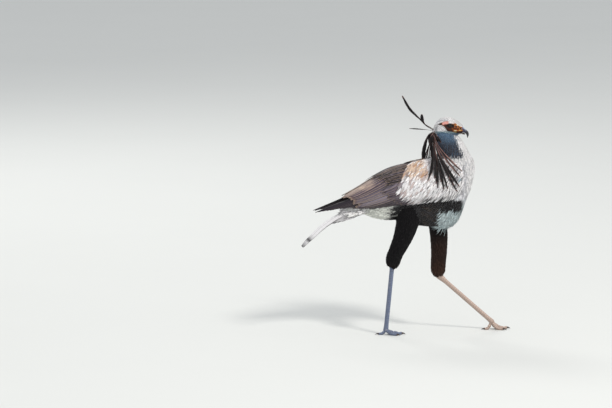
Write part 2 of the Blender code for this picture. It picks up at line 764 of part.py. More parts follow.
def wing_vane(root, tip, half_width, outline, lift, tilt, points_across):
    """A feather that lies along the mantle from its sunk root to its tip."""
    t = np.linspace(0, 1, len(outline))
    x = root[0] + (tip[0] - root[0]) * t
    angle = np.radians(root[1] + (tip[1] - root[1]) * t**1.3)
    first = min(ROOT_RISE + lift / 4, lift) if lift > 0 else lift
    rise = np.interp(t, (0, t[1], 1), (-ROOT_SINK, first, lift))
    middle = mantle(x, angle, rise)
    turn = mantle(x, angle + 0.01, rise) - mantle(x, angle - 0.01, rise)
    radius = np.linalg.norm(turn, axis=1) / 0.02
    turn /= np.linalg.norm(turn, axis=1)[:, None]
    ahead = np.gradient(middle, axis=0)
    ahead /= np.linalg.norm(ahead, axis=1)[:, None]
    out = np.cross(turn, ahead)
    across = np.cross(ahead, out)
    across /= np.linalg.norm(across, axis=1)[:, None]
    reach = (half_width * np.array(outline))[:, None] * np.linspace(-1, 1, points_across)
    at_x = x[:, None] + reach * across[:, :1]
    at_angle = angle[:, None] + reach * np.sum(across * turn, axis=1)[:, None] / radius[:, None]
    height = rise[:, None] + tilt * reach / half_width
    return vane(mantle(at_x, at_angle, height), mantle(at_x, at_angle, height - VANE_THICKNESS))


def wing_vanes():
    """Every feather of a folded wing, tier by tier."""
    shapes = []
    for _, count, outline, half_width, lift, step, raised, points_across, *ends in WING_TIERS:
        root_a, tip_a, root_b, tip_b = (np.array(end) for end in ends)
        for i in range(count):
            root = root_a + (root_b - root_a) * i / (count - 1)
            tip = tip_a + (tip_b - tip_a) * i / (count - 1)
            height, tilt = lift + step * i, raised * VANE_TILT
            shapes.append(wing_vane(root, tip, half_width, outline, height, tilt, points_across))
    return shapes


def build_wings():
    """The folded wings, one on each side."""
    core, vanes = wing_core_shape(), wing_vanes()
    thighs = {1: thigh_shape(FRONT_THIGH, GAP), -1: thigh_shape(REAR_THIGH, GAP)}
    for name, side in (("wing_left", 1), ("wing_right", -1)):
        on_this = (lambda shape: shape) if side == 1 else mirrored
        wing = solid(name, on_this(core), "grey_plumage")
        joined(wing, [on_this(shape) for shape in vanes])
        across = box((-1.0, -side, 0.0), (1.0, side * GAP / 2, 2.0))
        cut(wing, [trunk_shape(GAP), neck_shape(GAP), across, thighs[side]])


def tail_point(along, side, height):
    """Points of the tail from their distance back, to the side and above its sloping tent."""
    along, side, height = np.broadcast_arrays(along, side, height)
    at = along.ravel()
    ridge_x, ridge_z = spline(TAIL_RIDGE, at).T
    back = spline(TAIL_RIDGE, at + RIDGE_STEP) - spline(TAIL_RIDGE, at - RIDGE_STEP)
    back_x, back_z = (back / np.linalg.norm(back, axis=1)[:, None]).T
    over = height.ravel() - np.abs(side.ravel()) * math.tan(TENT_SLOPE)
    points = np.stack([ridge_x + over * back_z, side.ravel(), ridge_z - over * back_x], axis=-1)
    return points.reshape(*along.shape, 3)


def tail_core_shape(grow=0.0):
    """The root of the tail, under its coverts."""
    rows = np.array(TAIL_CORE)
    along, half, thick = rows[:, :1], rows[:, 1:2] + grow, rows[:, 2:] + grow
    angle = np.linspace(0, 2 * np.pi, 12, endpoint=False)
    return closed_tube(tail_point(along, half * np.cos(angle), thick * np.sin(angle)))


def rectrix_shape(number, side):
    """One feather of a pair in the tail, counted from the middle."""
    length, half_width, root_side, tip_side = RECTRICES[number]
    outline = np.array(FLIGHT_OUTLINE)
    t = np.linspace(0, 1, len(outline))
    along = RECTRIX_ROOT + (length - RECTRIX_ROOT) * t
    middle = side * (root_side + (tip_side - root_side) * np.clip(t * 1.5, 0, 1))
    reach = half_width * outline[:, None] * np.array((-1.0, 0.0, 1.0))
    across = middle[:, None] + reach
    level = -RECTRIX_STEP * (2 * number + (side > 0)) + RECTRIX_TILT * side * reach / half_width
    top = tail_point(along[:, None], across, level)
    return vane(top, tail_point(along[:, None], across, level - VANE_THICKNESS))


def build_tail():
    """The tail, feather by feather, seated on the rump."""
    tail = solid("tail", tail_core_shape(), "white_plumage")
    feathers = [rectrix_shape(i, side) for i in range(len(RECTRICES)) for side in (1, -1)]
    joined(tail, feathers, "MANIFOLD")
    return cut(tail, [trunk_shape(GAP)], "MANIFOLD")


def shank_shape(ankle, sole, grow=0.0):
    """A shank, swollen at the ankle, with a row of scutes stepped in its front."""
    ankle, sole = np.array(ankle), np.array(sole)
    length = np.linalg.norm(sole - ankle)
    along = np.repeat(np.linspace(0, 1, SCUTES + 2), 2)[1:-1]
    along = along + np.tile((SCUTE_RAMP, -SCUTE_RAMP), SCUTES + 1)
    along[0], along[-1] = SHANK_START - grow / length, 1.0 + grow / length
    swell = 1 + ANKLE_SWELL * np.exp(-((along / ANKLE_RUN) ** 2))
    swell += SOLE_SWELL * np.exp(-(((along - 1) / SOLE_RUN) ** 2))
    angle = np.linspace(0, 2 * np.pi, 9, endpoint=False)
    ahead = (sole - ankle) / length
    over = np.cross(ahead, (0.0, 1.0, 0.0))
    over /= np.linalg.norm(over)
    if over[0] < 0:
        over = -over
    out = np.cross(over, ahead)
    raised = np.tile((0.0, SCUTE_STEP), SCUTES + 1)
    raised[:4] = 0
    front = np.clip(np.cos(angle), 0, None) ** 0.5
    depth = SHANK_HALF_DEPTH * swell[:, None] + raised[:, None] * front + grow
    width = SHANK_HALF_WIDTH * swell[:, None] + raised[:, None] * front + grow
    middle = ankle + along[:, None] * length * ahead
    shape = (
        middle[:, None]
        + (depth * np.cos(angle))[..., None] * over
        + (width * np.sin(angle))[..., None] * out
    )
    return closed_tube(shape)


def thigh_shape(table, grow=0.0):
    """A thigh in its trousers of feathers."""
    return level_loft(table, THIGH_NOSE, 11, 12, grow)


def toe_path(sole, heading, length, radius):
    """A toe's middle line: down from the sole of the shank, then out along the floor."""
    start = np.array(sole)
    reach = np.linspace(0, 1, 7)
    rest = radius - SOLE_CUT
    drop = (start[2] - rest) * (1 - np.clip(reach / TOE_DROP, 0, 1)) ** 1.6
    out = np.array((math.cos(heading), math.sin(heading), 0.0))
    path = start * (1, 1, 0) + (reach * length)[:, None] * out
    path[:, 2] = rest + drop
    return path


def toe_shape(sole, heading, length, radius):
    """A toe with its pads, round but for the sole."""
    path = toe_path(sole, heading, length, radius)
    reach = np.linspace(0, 1, len(path))
    size = radius * (1 - TOE_TAPER * reach) * (1 + TOE_PADS * np.cos(reach * 6 * np.pi))
    path[:, 2] += np.where(path[:, 2] < radius * 1.2, size - radius, 0)
    side_axis = (-math.sin(heading), math.cos(heading), 0.0)
    return path_tube(path, size, size * 1.05, 7, side_axis), path[-1], size[-1]


def claw_shape(start, heading, radius, grow=0.0):
    """A claw, curving down from inside the end of its toe to just above the floor."""
    reach = np.linspace(0, 1, 6)
    out = np.array((math.cos(heading), math.sin(heading), 0.0))
    path = np.array(start) + (reach * CLAW_LENGTH - CLAW_SEAT)[:, None] * out
    fall = (start[2] - CLAW_END_HEIGHT) * reach**2
    path[:, 2] = start[2] + CLAW_ARCH * np.sin(reach * np.pi) - fall
    size = np.maximum(radius * 0.8 * (1 - reach) ** 0.8, CLAW_END_RADIUS)
    size = np.minimum(size, path[:, 2] - CLAW_CLEARANCE)
    path[0] -= grow * out
    side_axis = (-math.sin(heading), math.cos(heading), 0.0)
    return path_tube(path, size + grow, size * 0.85 + grow, 6, side_axis)


def build_leg(side_name, side, thigh, ankle, sole, turn):
    """One leg: the thigh, the shank, the foot with its toes, and the claws."""
    made = solid(f"thigh_{side_name}", thigh_shape(thigh), "black_plumage")
    cut(made, [trunk_shape(GAP), shank_shape(ankle, sole, GAP)])
    solid(f"shank_{side_name}", shank_shape(ankle, sole), "scales")
    foot_parts, sockets = [], []
    for name, spread, length, radius in TOES:
        heading = turn + side * spread
        shape, end, size = toe_shape(sole, heading, length, radius)
        foot_parts.append(shape)
        sockets.append(claw_shape(end, heading, size, GAP))
        solid(f"claw_{side_name}_{name}", claw_shape(end, heading, size), "horn")
    x, y, z = sole
    pad_shape = ball((x, y, z), (PAD_RADIUS, PAD_RADIUS, min(PAD_RADIUS, z)), 9, 5)
    foot = solid(f"foot_{side_name}", pad_shape, "scales")
    joined(foot, foot_parts)
    wide = CLEAR * 4
    floor = box((x - wide, y - wide, -CLEAR), (x + wide, y + wide, 0.0))
    cut(foot, [floor, shank_shape(ankle, sole, GAP)] + sockets)


def main():
    """Builds the whole bird."""
    for old in list(bpy.data.objects):
        bpy.data.objects.remove(old)
    build_trunk()
    build_neck()
    build_head()
    build_bill()
    build_eyes()
    build_wings()
    build_tail()
    build_leg("right", -1, REAR_THIGH, REAR_ANKLE, REAR_SOLE, REAR_TURN)
    build_leg("left", 1, FRONT_THIGH, FRONT_ANKLE, FRONT_SOLE, FRONT_TURN)


main()
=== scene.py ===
"""The looks of a life-size museum model of a secretary bird in mid-stride.

Metres, +Z up. The bird faces +X and its left side is +Y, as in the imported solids. One skin
stands for the solids of flesh, and feathers, scales, horn and eyes are laid over it, each as a
surface worked out with numpy from the same named sizes as the solids.
"""

import logging
import math
from dataclasses import dataclass, field
from enum import Enum
from typing import Any, Optional, Sequence, Union

import bpy
import numpy as np
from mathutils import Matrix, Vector


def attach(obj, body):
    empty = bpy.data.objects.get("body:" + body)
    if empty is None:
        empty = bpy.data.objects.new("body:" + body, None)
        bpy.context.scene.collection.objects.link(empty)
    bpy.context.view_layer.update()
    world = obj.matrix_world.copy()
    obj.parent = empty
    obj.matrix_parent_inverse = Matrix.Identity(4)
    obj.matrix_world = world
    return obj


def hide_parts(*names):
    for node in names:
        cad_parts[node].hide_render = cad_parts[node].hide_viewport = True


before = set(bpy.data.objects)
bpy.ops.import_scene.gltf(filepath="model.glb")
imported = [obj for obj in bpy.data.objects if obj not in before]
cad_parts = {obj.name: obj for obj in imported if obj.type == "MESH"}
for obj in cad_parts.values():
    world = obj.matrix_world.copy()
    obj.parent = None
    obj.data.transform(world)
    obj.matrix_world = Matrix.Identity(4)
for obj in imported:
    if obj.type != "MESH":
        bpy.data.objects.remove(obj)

Array = np.ndarray
Table = Sequence[Sequence[float]]
Place = tuple[float, float, float]

LOG = logging.getLogger("secretary_bird")

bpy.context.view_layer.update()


def linear(red: float, green: float, blue: float) -> Array:
    """A colour given as it shows on a screen, 0 to 1, turned into linear light."""
    shown = np.array((red, green, blue))
    return np.where(shown <= 0.04045, shown / 12.92, ((shown + 0.055) / 1.055) ** 2.4)


class Tone(Enum):
    """The colours of the bird, as they show in the photograph's light."""

    WHITE = (0.965, 0.955, 0.955)
    PALE = (0.875, 0.87, 0.885)
    GREY = (0.66, 0.67, 0.71)
    CREAM = (0.90, 0.85, 0.70)
    BUFF = (0.86, 0.755, 0.665)
    EDGE = (0.70, 0.61, 0.55)
    TAN = (0.70, 0.52, 0.38)
    SPECK = (0.60, 0.47, 0.44)
    TEAL = (0.40, 0.52, 0.57)
    TEAL_PALE = (0.79, 0.85, 0.855)
    # The next two tones paint the shadow that head and crest cast on neck and throat; the first also colours
    # some other dark marks.
    NECK_SHADE = (0.095, 0.11, 0.18)
    NECK_PAINTED_SHADOW_BLUE = (0.29, 0.41, 0.52)
    PURPLE_GREY = (0.53, 0.495, 0.535)
    PURPLE = (0.315, 0.27, 0.315)
    PURPLE_BLACK = (0.165, 0.135, 0.17)
    BROWN = (0.38, 0.26, 0.20)
    BLACK = (0.05, 0.042, 0.052)
    CREST_BROWN = (0.60, 0.455, 0.43)
    OLIVE = (0.175, 0.135, 0.10)
    VENT = (0.93, 0.935, 0.90)
    FACE_ORANGE = (0.74, 0.39, 0.14)
    FACE_PINK = (0.95, 0.68, 0.64)
    FACE_DARK = (0.15, 0.045, 0.05)
    GAPE = (0.88, 0.77, 0.45)
    LID = (0.045, 0.03, 0.03)
    # Painted highlight on the top of the bill's base.
    BILL_PAINTED_HIGHLIGHT = (0.72, 0.76, 0.83)
    HORN = (0.07, 0.065, 0.085)
    HORN_BLUE = (0.20, 0.19, 0.33)
    IRIS = (0.13, 0.085, 0.05)
    # Painted light on the shanks: the near one in shade, the far one in sun.
    SHANK_PAINTED_SHADE = (0.42, 0.465, 0.565)
    SHANK_PAINTED_SUNLIGHT = (0.74, 0.65, 0.60)
    FLOOR = (0.865, 0.87, 0.86)

    @property
    def light(self) -> Array:
        """The colour in linear light."""
        return linear(*self.value)


def blend(first: Array, second: Array, share: Array) -> Array:
    """Colours part of the way from the first to the second, row by row."""
    share = np.asarray(share)[..., None]
    return first * (1 - share) + second * share


class Paint:
    """The colours of a surface's points, laid tone over tone."""

    def __init__(self, base: Union[Tone, Array], shape: Sequence[int]) -> None:
        """Gives every point its first colour."""
        self.light = np.broadcast_to(self.as_light(base), (*shape, 3))

    @staticmethod
    def as_light(colour: Union[Tone, Array]) -> Array:
        """A tone or colours, as colours."""
        return colour.light if isinstance(colour, Tone) else colour

    def lay(self, colour: Union[Tone, Array], share: Union[Array, float]) -> "Paint":
        """Moves every point part of the way to a colour, and returns the paint.

        Args:
            colour: a tone, or colours.
            share: how far each point goes, 0 to 1.

        Returns:
            The same paint.
        """
        share = np.broadcast_to(share, self.light.shape[:-1])
        self.light = blend(self.light, self.as_light(colour), share)
        return self


def smooth(value: Array, low: float, high: float) -> Array:
    """0 below low, 1 above high, and the cubic 3t^2 - 2t^3 between."""
    t = np.clip((np.asarray(value, float) - low) / (high - low), 0, 1)
    return t * t * (3 - 2 * t)


def bell(value: Array, width: float, power: int = 2) -> Array:
    """1 where the value is 0, falling to both sides as exp(-(value / width)^power)."""
    return np.exp(-((value / width) ** power))


def spot(x: Array, z: Array, place: Sequence[float], size: Sequence[float], power: int = 2) -> Array:
    """A bell over two directions: exp(-((x - a) / w)^power - ((z - b) / h)^power)."""
    return np.exp(-(((x - place[0]) / size[0]) ** power) - ((z - place[1]) / size[1]) ** power)


def turns(count: int) -> Array:
    """Angles evenly once round, the last one short of the first."""
    return np.linspace(0, 2 * np.pi, count, endpoint=False)


def stacked(*parts: Any) -> Array:
    """Arrays or numbers, broadcast and joined along a last axis."""
    return np.stack(np.broadcast_arrays(*parts), axis=-1)


def unit(vectors: Array) -> Array:
    """Vectors at length 1."""
    return vectors / np.maximum(np.linalg.norm(vectors, axis=-1, keepdims=True), 1e-12)


def spline(table: Table, at: Union[Array, float]) -> Array:
    """Every column of a table as a smooth curve of its first column, read at some places.

    Between two rows it is the cubic with the rows' values and centred slopes.

    Args:
        table: rows whose first column rises.
        at: places in the first column, of any shape.

    Returns:
        The other columns, along a last axis added to the shape of at.
    """
    rows = np.array(table, float)
    knots = rows[:, 0]
    slopes = np.gradient(rows[:, 1:], knots, axis=0)
    at = np.clip(np.asarray(at, float), knots[0], knots[-1])
    cell = np.clip(np.searchsorted(knots, at, side="right") - 1, 0, len(knots) - 2)
    step = (knots[cell + 1] - knots[cell])[..., None]
    t = (at - knots[cell])[..., None] / step
    here, there = rows[cell, 1:], rows[cell + 1, 1:]
    return (
        here * (1 + 2 * t) * (1 - t) ** 2
        + slopes[cell] * step * t * (1 - t) ** 2
        + there * t * t * (3 - 2 * t)
        + slopes[cell + 1] * step * t * t * (t - 1)
    )


def curves(table: Table, at: Array) -> tuple[Array, ...]:
    """The columns of a table that spline reads, each as an array of its own."""
    return tuple(np.moveaxis(spline(table, at), -1, 0))


def eased(low: float, high: float, count: int) -> Array:
    """Places from low to high that crowd towards both ends, where a form rounds off."""
    return low + (high - low) * (1 - np.cos(np.linspace(0, np.pi, count))) / 2


def rounding(at: Array, low: float, high: float, noses: Sequence[float]) -> Array:
    """1 along a form, falling as an ellipse does to 0 over the length of each nose.

    Args:
        at: places along the form.
        low: where it starts.
        high: where it ends.
        noses: length of the rounded nose at each end.

    Returns:
        The share of the full section at each place.
    """
    start = np.clip((low + noses[0] - at) / noses[0], 0, 1)
    end = np.clip((at - high + noses[1]) / noses[1], 0, 1)
    return np.sqrt(np.clip(1 - start**2, 0, 1) * np.clip(1 - end**2, 0, 1))


@dataclass
class MeshParts:
    """Points, faces and what each point carries, before they become a mesh."""

    points: Array
    faces: list[Array]
    layers: dict[str, Array] = field(default_factory=dict)

    def turned_out(self) -> "MeshParts":
        """The same parts with the faces turned round if they enclose a negative volume.

        Returns:
            The parts themselves.
        """
        volume = 0.0
        for group in self.faces:
            corner = self.points[group]
            for k in range(1, group.shape[1] - 1):
                cross = np.cross(corner[:, k], corner[:, k + 1])
                volume += float(np.sum(corner[:, 0] * cross))
        if volume < 0:
            self.faces = [group[:, ::-1] for group in self.faces]
        return self

    def mirrored(self) -> "MeshParts":
        """The same parts on the other side of the bird's middle plane.

        Returns:
            New parts, with their patches on the bake chart turned over.
        """
        layers = dict(self.layers)
        if "OFBake" in layers:
            layers["OFBake"] = layers["OFBake"] * (1.0, -1.0) + (0.0, 1.0)
        return MeshParts(self.points * (1, -1, 1), [g[:, ::-1] for g in self.faces], layers)


def gathered(parts: Sequence[MeshParts]) -> MeshParts:
    """Several parts as one.

    Args:
        parts: parts with the same layers.

    Returns:
        Their points, faces and layers joined.
    """
    starts = np.cumsum([0] + [len(part.points) for part in parts])
    faces = [group + start for part, start in zip(parts, starts) for group in part.faces]
    layers = {key: np.concatenate([part.layers[key] for part in parts]) for key in parts[0].layers}
    return MeshParts(np.concatenate([part.points for part in parts]), faces, layers)


def tube(rings: Array, layers: Optional[dict[str, Array]] = None) -> MeshParts:
    """A closed surface through rings of points, each end drawn to one point at its middle.

    Args:
        rings: points as rows of rings, shape (rings, points, 3).
        layers: what each point carries, with the rings' first two axes.

    Returns:
        The parts, with a pole added for each end.
    """
    count, sides = rings.shape[:2]
    at = np.arange(count * sides).reshape(count, sides)
    after = np.roll(at, -1, axis=1)
    quads = stacked(at[:-1], after[:-1], after[1:], at[1:]).reshape(-1, 4)
    foot = stacked(count * sides, after[0], at[0])
    head = stacked(count * sides + 1, at[-1], after[-1])
    ends = np.stack([rings[0].mean(axis=0), rings[-1].mean(axis=0)])
    points = np.concatenate([rings.reshape(-1, 3), ends])
    made = {}
    for key, values in (layers or {}).items():
        width = values.shape[-1]
        tips = np.stack([values[0].mean(axis=0), values[-1].mean(axis=0)])
        made[key] = np.concatenate([values.reshape(-1, width), tips])
    return MeshParts(points, [quads, np.concatenate([foot, head])], made).turned_out()


def sweep(path: Array, depth: Array, width: Array, sides: int, side_axis: Array) -> Array:
    """Rings of an oval section carried along a path.

    Each ring is the path's point plus depth times the cosine along the upward normal and width
    times the sine along the sideways one.

    Args:
        path: the middle line.
        depth: half height of the section at each point.
        width: half width of the section at each point.
        sides: points in a ring.
        side_axis: the direction that the width lies along.

    Returns:
        The rings, shape (points of the path, sides, 3).
    """
    ahead = unit(np.gradient(path, axis=0))
    over = unit(np.cross(ahead, side_axis))
    out = np.cross(over, ahead)
    angle = turns(sides)
    rise = np.asarray(depth)[:, None, None] * np.cos(angle)[:, None] * over[:, None]
    reach = np.asarray(width)[:, None, None] * np.sin(angle)[:, None] * out[:, None]
    return path[:, None] + rise + reach


def make_mesh(name: str, parts: MeshParts) -> bpy.types.Mesh:
    """A smooth-shaded Blender mesh from parts, with its layers as UV maps and attributes.

    Args:
        name: the mesh's name.
        parts: points, faces and layers.

    Returns:
        The mesh.
    """
    mesh = bpy.data.meshes.new(name)
    mesh.vertices.add(len(parts.points))
    mesh.vertices.foreach_set("co", parts.points.astype(np.float32).ravel())
    sizes = np.concatenate([np.full(len(group), group.shape[1]) for group in parts.faces])
    corners = np.concatenate([group.ravel() for group in parts.faces]).astype(np.int32)
    mesh.loops.add(len(corners))
    mesh.loops.foreach_set("vertex_index", corners)
    mesh.polygons.add(len(sizes))
    starts = np.concatenate([[0], np.cumsum(sizes)[:-1]]).astype(np.int32)
    mesh.polygons.foreach_set("loop_start", starts)
    mesh.update(calc_edges=True)
    for key, values in parts.layers.items():
        if values.shape[1] == 2:
            chart = mesh.uv_layers.new(name=key)
            chart.data.foreach_set("uv", values[corners].astype(np.float32).ravel())
        else:
            carry(mesh, key, values)
    mesh.shade_smooth()
    return mesh


def carry(mesh: bpy.types.Mesh, name: str, values: Array) -> None:
    """Gives a mesh's points a colour each.

    Args:
        mesh: the mesh.
        name: the attribute's name.
        values: three numbers to each point.
    """
    full = np.ones((len(values), 4), np.float32)
    full[:, :3] = values
    mesh.attributes.new(name, "FLOAT_COLOR", "POINT").data.foreach_set("color", full.ravel())


def linked(name: str, data: bpy.types.ID) -> bpy.types.Object:
    """Puts a mesh, lamp or camera into the scene.

    Args:
        name: the object's name.
        data: what it shows.

    Returns:
        The object.
    """
    made = bpy.data.objects.new(name, data)
    bpy.context.scene.collection.objects.link(made)
    return made


def publish(
    name: str, shape: Union[MeshParts, bpy.types.Mesh], finish: bpy.types.Material,
    stands_for: Sequence[str] = ()
) -> bpy.types.Object:
    """Puts a finished piece into the scene, on the bird.

    Args:
        name: the piece's name.
        shape: its parts, or a mesh that is ready.
        finish: its material.
        stands_for: the solids that it takes the place of.

    Returns:
        The piece.
    """
    mesh = make_mesh(name, shape) if isinstance(shape, MeshParts) else shape
    mesh.name = name
    mesh.materials.clear()
    mesh.materials.append(finish)
    piece = linked(name, mesh)
    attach(piece, "root")
    if stands_for:
        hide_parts(*stands_for)
    LOG.info("%s: %d points, %d faces", name, len(mesh.vertices), len(mesh.polygons))
    return piece


class Shade:
    """A socket of a material, wrapped so that shader maths reads as an expression."""

    def __init__(self, graph: "Graph", socket: bpy.types.NodeSocket) -> None:
        """Holds the socket and the material that it is in."""
        self.graph = graph
        self.socket = socket

    def __add__(self, other: Any) -> "Shade":
        """This plus other."""
        return self.graph.maths("ADD", self, other)

    def __radd__(self, other: Any) -> "Shade":
        """Other plus this."""
        return self.graph.maths("ADD", other, self)

    def __sub__(self, other: Any) -> "Shade":
        """This less other."""
        return self.graph.maths("SUBTRACT", self, other)

    def __rsub__(self, other: Any) -> "Shade":
        """Other less this."""
        return self.graph.maths("SUBTRACT", other, self)

    def __mul__(self, other: Any) -> "Shade":
        """This times other."""
        return self.graph.maths("MULTIPLY", self, other)

    def __rmul__(self, other: Any) -> "Shade":
        """Other times this."""
        return self.graph.maths("MULTIPLY", other, self)

    def __abs__(self) -> "Shade":
        """The size of this without its sign."""
        return self.graph.maths("ABSOLUTE", self)


class Graph:
    """One material's node tree."""

    def __init__(self, name: str) -> None:
        """Starts a material with one Principled shader.

        Args:
            name: the material's name.
        """
        self.material = bpy.data.materials.new(name)
        self.material.use_nodes = True
        self.tree = self.material.node_tree
        self.tree.nodes.clear()
        self.shader = self.node("ShaderNodeBsdfPrincipled", {}, {})
        self.node("ShaderNodeOutputMaterial", {}, {"Surface": self.shader.outputs["BSDF"]})

    def node(self, kind: str, settings: dict[str, Any], inputs: dict[Any, Any]) -> bpy.types.Node:
        """Adds a node.

        Args:
            kind: the node's type.
            settings: its settings.
            inputs: values or links, by a socket's place, identifier or name.

        Returns:
            The node.
        """
        node = self.tree.nodes.new(kind)
        for key, value in settings.items():
            setattr(node, key, value)
        for key, value in inputs.items():
            self.feed(self.find(node, key), value)
        return node

    @staticmethod
    def find(node: bpy.types.Node, key: Any) -> bpy.types.NodeSocket:
        """An input of a node, by place, identifier or name.

        Args:
            node: the node.
            key: a number, an identifier or a name.

        Returns:
            The socket.
        """
        if isinstance(key, int):
            return node.inputs[key]
        for socket in node.inputs:
            if socket.identifier == key:
                return socket
        return node.inputs[key]

    def feed(self, socket: bpy.types.NodeSocket, value: Any) -> None:
        """Links a socket, or sets its value.

        Args:
            socket: an input.
            value: a shade, a socket, a colour or a number.
        """
        if isinstance(value, Shade):
            self.tree.links.new(value.socket, socket)
        elif isinstance(value, bpy.types.NodeSocket):
            self.tree.links.new(value, socket)
        elif socket.type == "RGBA":
            socket.default_value = (*value, 1.0)
        else:
            socket.default_value = value

    def maths(self, operation: str, *values: Any) -> Shade:
        """A Math node on values."""
        node = self.node("ShaderNodeMath", {"operation": operation}, dict(enumerate(values)))
        return Shade(self, node.outputs[0])

    def stepped(self, value: Any, low: float, high: float) -> Shade:
        """0 below low, 1 above high, smooth between.

        Args:
            value: what is stepped.
            low: where the step starts.
            high: where it ends.

        Returns:
            The step, 0 to 1.
        """
        settings = {"interpolation_type": "SMOOTHSTEP"}
        inputs = {"Value": value, "From Min": low, "From Max": high}
        return Shade(self, self.node("ShaderNodeMapRange", settings, inputs).outputs["Result"])

    def mix(self, share: Any, first: Any, second: Any) -> Shade:
        """Two colours mixed.

        Args:
            share: how much of the second.
            first: a colour.
            second: a colour.

        Returns:
            The mixed colour.
        """
        settings = {"data_type": "RGBA", "blend_type": "MIX"}
        inputs = {"Factor_Float": share, "A_Color": first, "B_Color": second}
        node = self.node("ShaderNodeMix", settings, inputs)
        return Shade(self, next(s for s in node.outputs if s.identifier == "Result_Color"))

    def scaled(self, colour: Shade, size: Any) -> Shade:
        """A colour made lighter or darker."""
        node = self.node("ShaderNodeVectorMath", {"operation": "SCALE"}, {0: colour, "Scale": size})
        return Shade(self, node.outputs[0])

    def place(self) -> Shade:
        """Where a point is on the piece, in metres."""
        return Shade(self, self.node("ShaderNodeTexCoord", {}, {}).outputs["Object"])

    def held(self, name: str) -> Shade:
        """A colour that the piece's points carry."""
        node = self.node("ShaderNodeAttribute", {"attribute_name": name}, {})
        return Shade(self, node.outputs["Color"])

    def split(self, colour: Shade) -> tuple[Shade, Shade, Shade]:
        """The three parts of a colour."""
        node = self.node("ShaderNodeSeparateColor", {}, {"Color": colour})
        return tuple(Shade(self, socket) for socket in node.outputs[:3])

    def chart(self, name: str) -> tuple[Shade, Shade]:
        """The two coordinates of a UV map.

        Args:
            name: the UV map's name.

        Returns:
            Across and along.
        """
        flat = self.node("ShaderNodeUVMap", {"uv_map": name}, {})
        node = self.node("ShaderNodeSeparateXYZ", {}, {"Vector": flat.outputs["UV"]})
        return Shade(self, node.outputs["X"]), Shade(self, node.outputs["Y"])

    def noise(self, where: Shade, scale: float, detail: float = 3.0, rough: float = 0.55) -> Shade:
        """Cloudy noise, 0 to 1, with scale cells to the metre."""
        inputs = {"Vector": where, "Scale": scale, "Detail": detail, "Roughness": rough}
        return Shade(self, self.node("ShaderNodeTexNoise", {}, inputs).outputs[0])

    def cells(self, where: Shade, scale: float) -> Shade:
        """Distance to the edge of cells, with scale cells to the metre."""
        settings, inputs = {"feature": "DISTANCE_TO_EDGE"}, {"Vector": where, "Scale": scale}
        return Shade(self, self.node("ShaderNodeTexVoronoi", settings, inputs).outputs["Distance"])

    def bump(self, height: Any, distance: float) -> Shade:
        """A Bump node's normal for a height."""
        inputs = {"Height": height, "Distance": distance, "Strength": 1.0}
        return Shade(self, self.node("ShaderNodeBump", {}, inputs).outputs["Normal"])

    def dress(self, **sockets: Any) -> bpy.types.Material:
        """Sets the shader's sockets, with spaces in their names written as underscores.

        Args:
            sockets: values or links, by the sockets' names.

        Returns:
            The finished material.
        """
        for key, value in sockets.items():
            self.feed(self.find(self.shader, key.replace("_", " ")), value)
        return self.material


@dataclass(frozen=True)
class PlumageFinish:
    """Feathers: barbs, a shaft, pale edges, specks and a soft sheen over the carried colour."""

    name: str
    barbs: float = 16.0
    slant: float = 5.0
    barb_depth: float = 0.10
    shaft_light: float = 0.82
    edge: Tone = Tone.PALE
    speck: Tone = Tone.SPECK
    speck_scale: float = 420.0
    roughness: float = 0.62
    relief: float = 0.00016
    sheen: float = 0.06
    gloss: float = 0.22
    web: float = 0.0
    rim_from: float = 0.90

    def material(self) -> bpy.types.Material:
        """The finish as a material that reads the Vane chart and the carried colours.

        Returns:
            The material.
        """
        g = Graph(self.name)
        where = g.place()
        across, along = g.chart("Vane")
        edge, speck, pick = g.split(g.held("traits"))
        side = abs(across * 2 - 1)
        fine = g.noise(where, 1500.0, 3.0)
        cloud = g.noise(where, 110.0, 3.0)
        barb = g.maths("SINE", (along * self.barbs + side * self.slant) * 2 * math.pi)
        shaft = 1 - g.stepped(side, 0.05, 0.13)
        border = g.stepped(side + fine * 0.3, self.rim_from, self.rim_from + 0.18)
        rim = g.maths("MAXIMUM", border, g.stepped(along, 0.94, 0.99))
        spots = g.stepped(g.noise(where, self.speck_scale, 2.0), 0.56, 0.68) * speck
        colour = g.mix(spots, g.held("plumage"), self.speck.light)
        colour = g.mix(rim * edge, colour, self.edge.light)
        tone = (0.86 + pick * 0.28) * (0.84 + cloud * 0.32) * (1 + barb * self.barb_depth)
        tone = tone * (1 - g.stepped(across, 0.42, 0.62) * self.web)
        colour = g.scaled(colour, tone * (1 - shaft * (1 - self.shaft_light)))
        height = barb * 0.35 + shaft * 1.0 + fine * 0.5
        return g.dress(
            Base_Color=colour,
            Roughness=self.roughness + fine * 0.2 - shaft * 0.1,
            Normal=g.bump(height, self.relief),
            Sheen_Weight=self.sheen,
            Sheen_Roughness=0.6,
            Specular_IOR_Level=self.gloss,
        )


@dataclass(frozen=True)
class SkinFinish:
    """Skin under the feathers, and the bare skin of the face: pebbled, with fine creases."""

    name: str
    pebbles: float
    relief: float
    roughness: float
    variation: float = 0.25
    coat: float = 0.0
    gloss: float = 0.2

    def material(self) -> bpy.types.Material:
        """The finish as a material that reads the carried colour.

        Returns:
            The material.
        """
        g = Graph(self.name)
        where = g.place()
        cell = g.stepped(g.cells(where, self.pebbles), 0.0, 0.32)
        cloud = g.noise(where, 160.0, 4.0)
        fine = g.noise(where, 1900.0, 3.0)
        tone = (1 - self.variation) + cloud * self.variation * 1.6
        colour = g.scaled(g.held("plumage"), tone * (0.78 + cell * 0.26))
        return g.dress(
            Base_Color=colour,
            Roughness=self.roughness + fine * 0.18,
            Normal=g.bump(cell * 0.7 + fine * 0.3, self.relief),
            Coat_Weight=self.coat,
            Coat_Roughness=0.35,
            Specular_IOR_Level=self.gloss,
        )


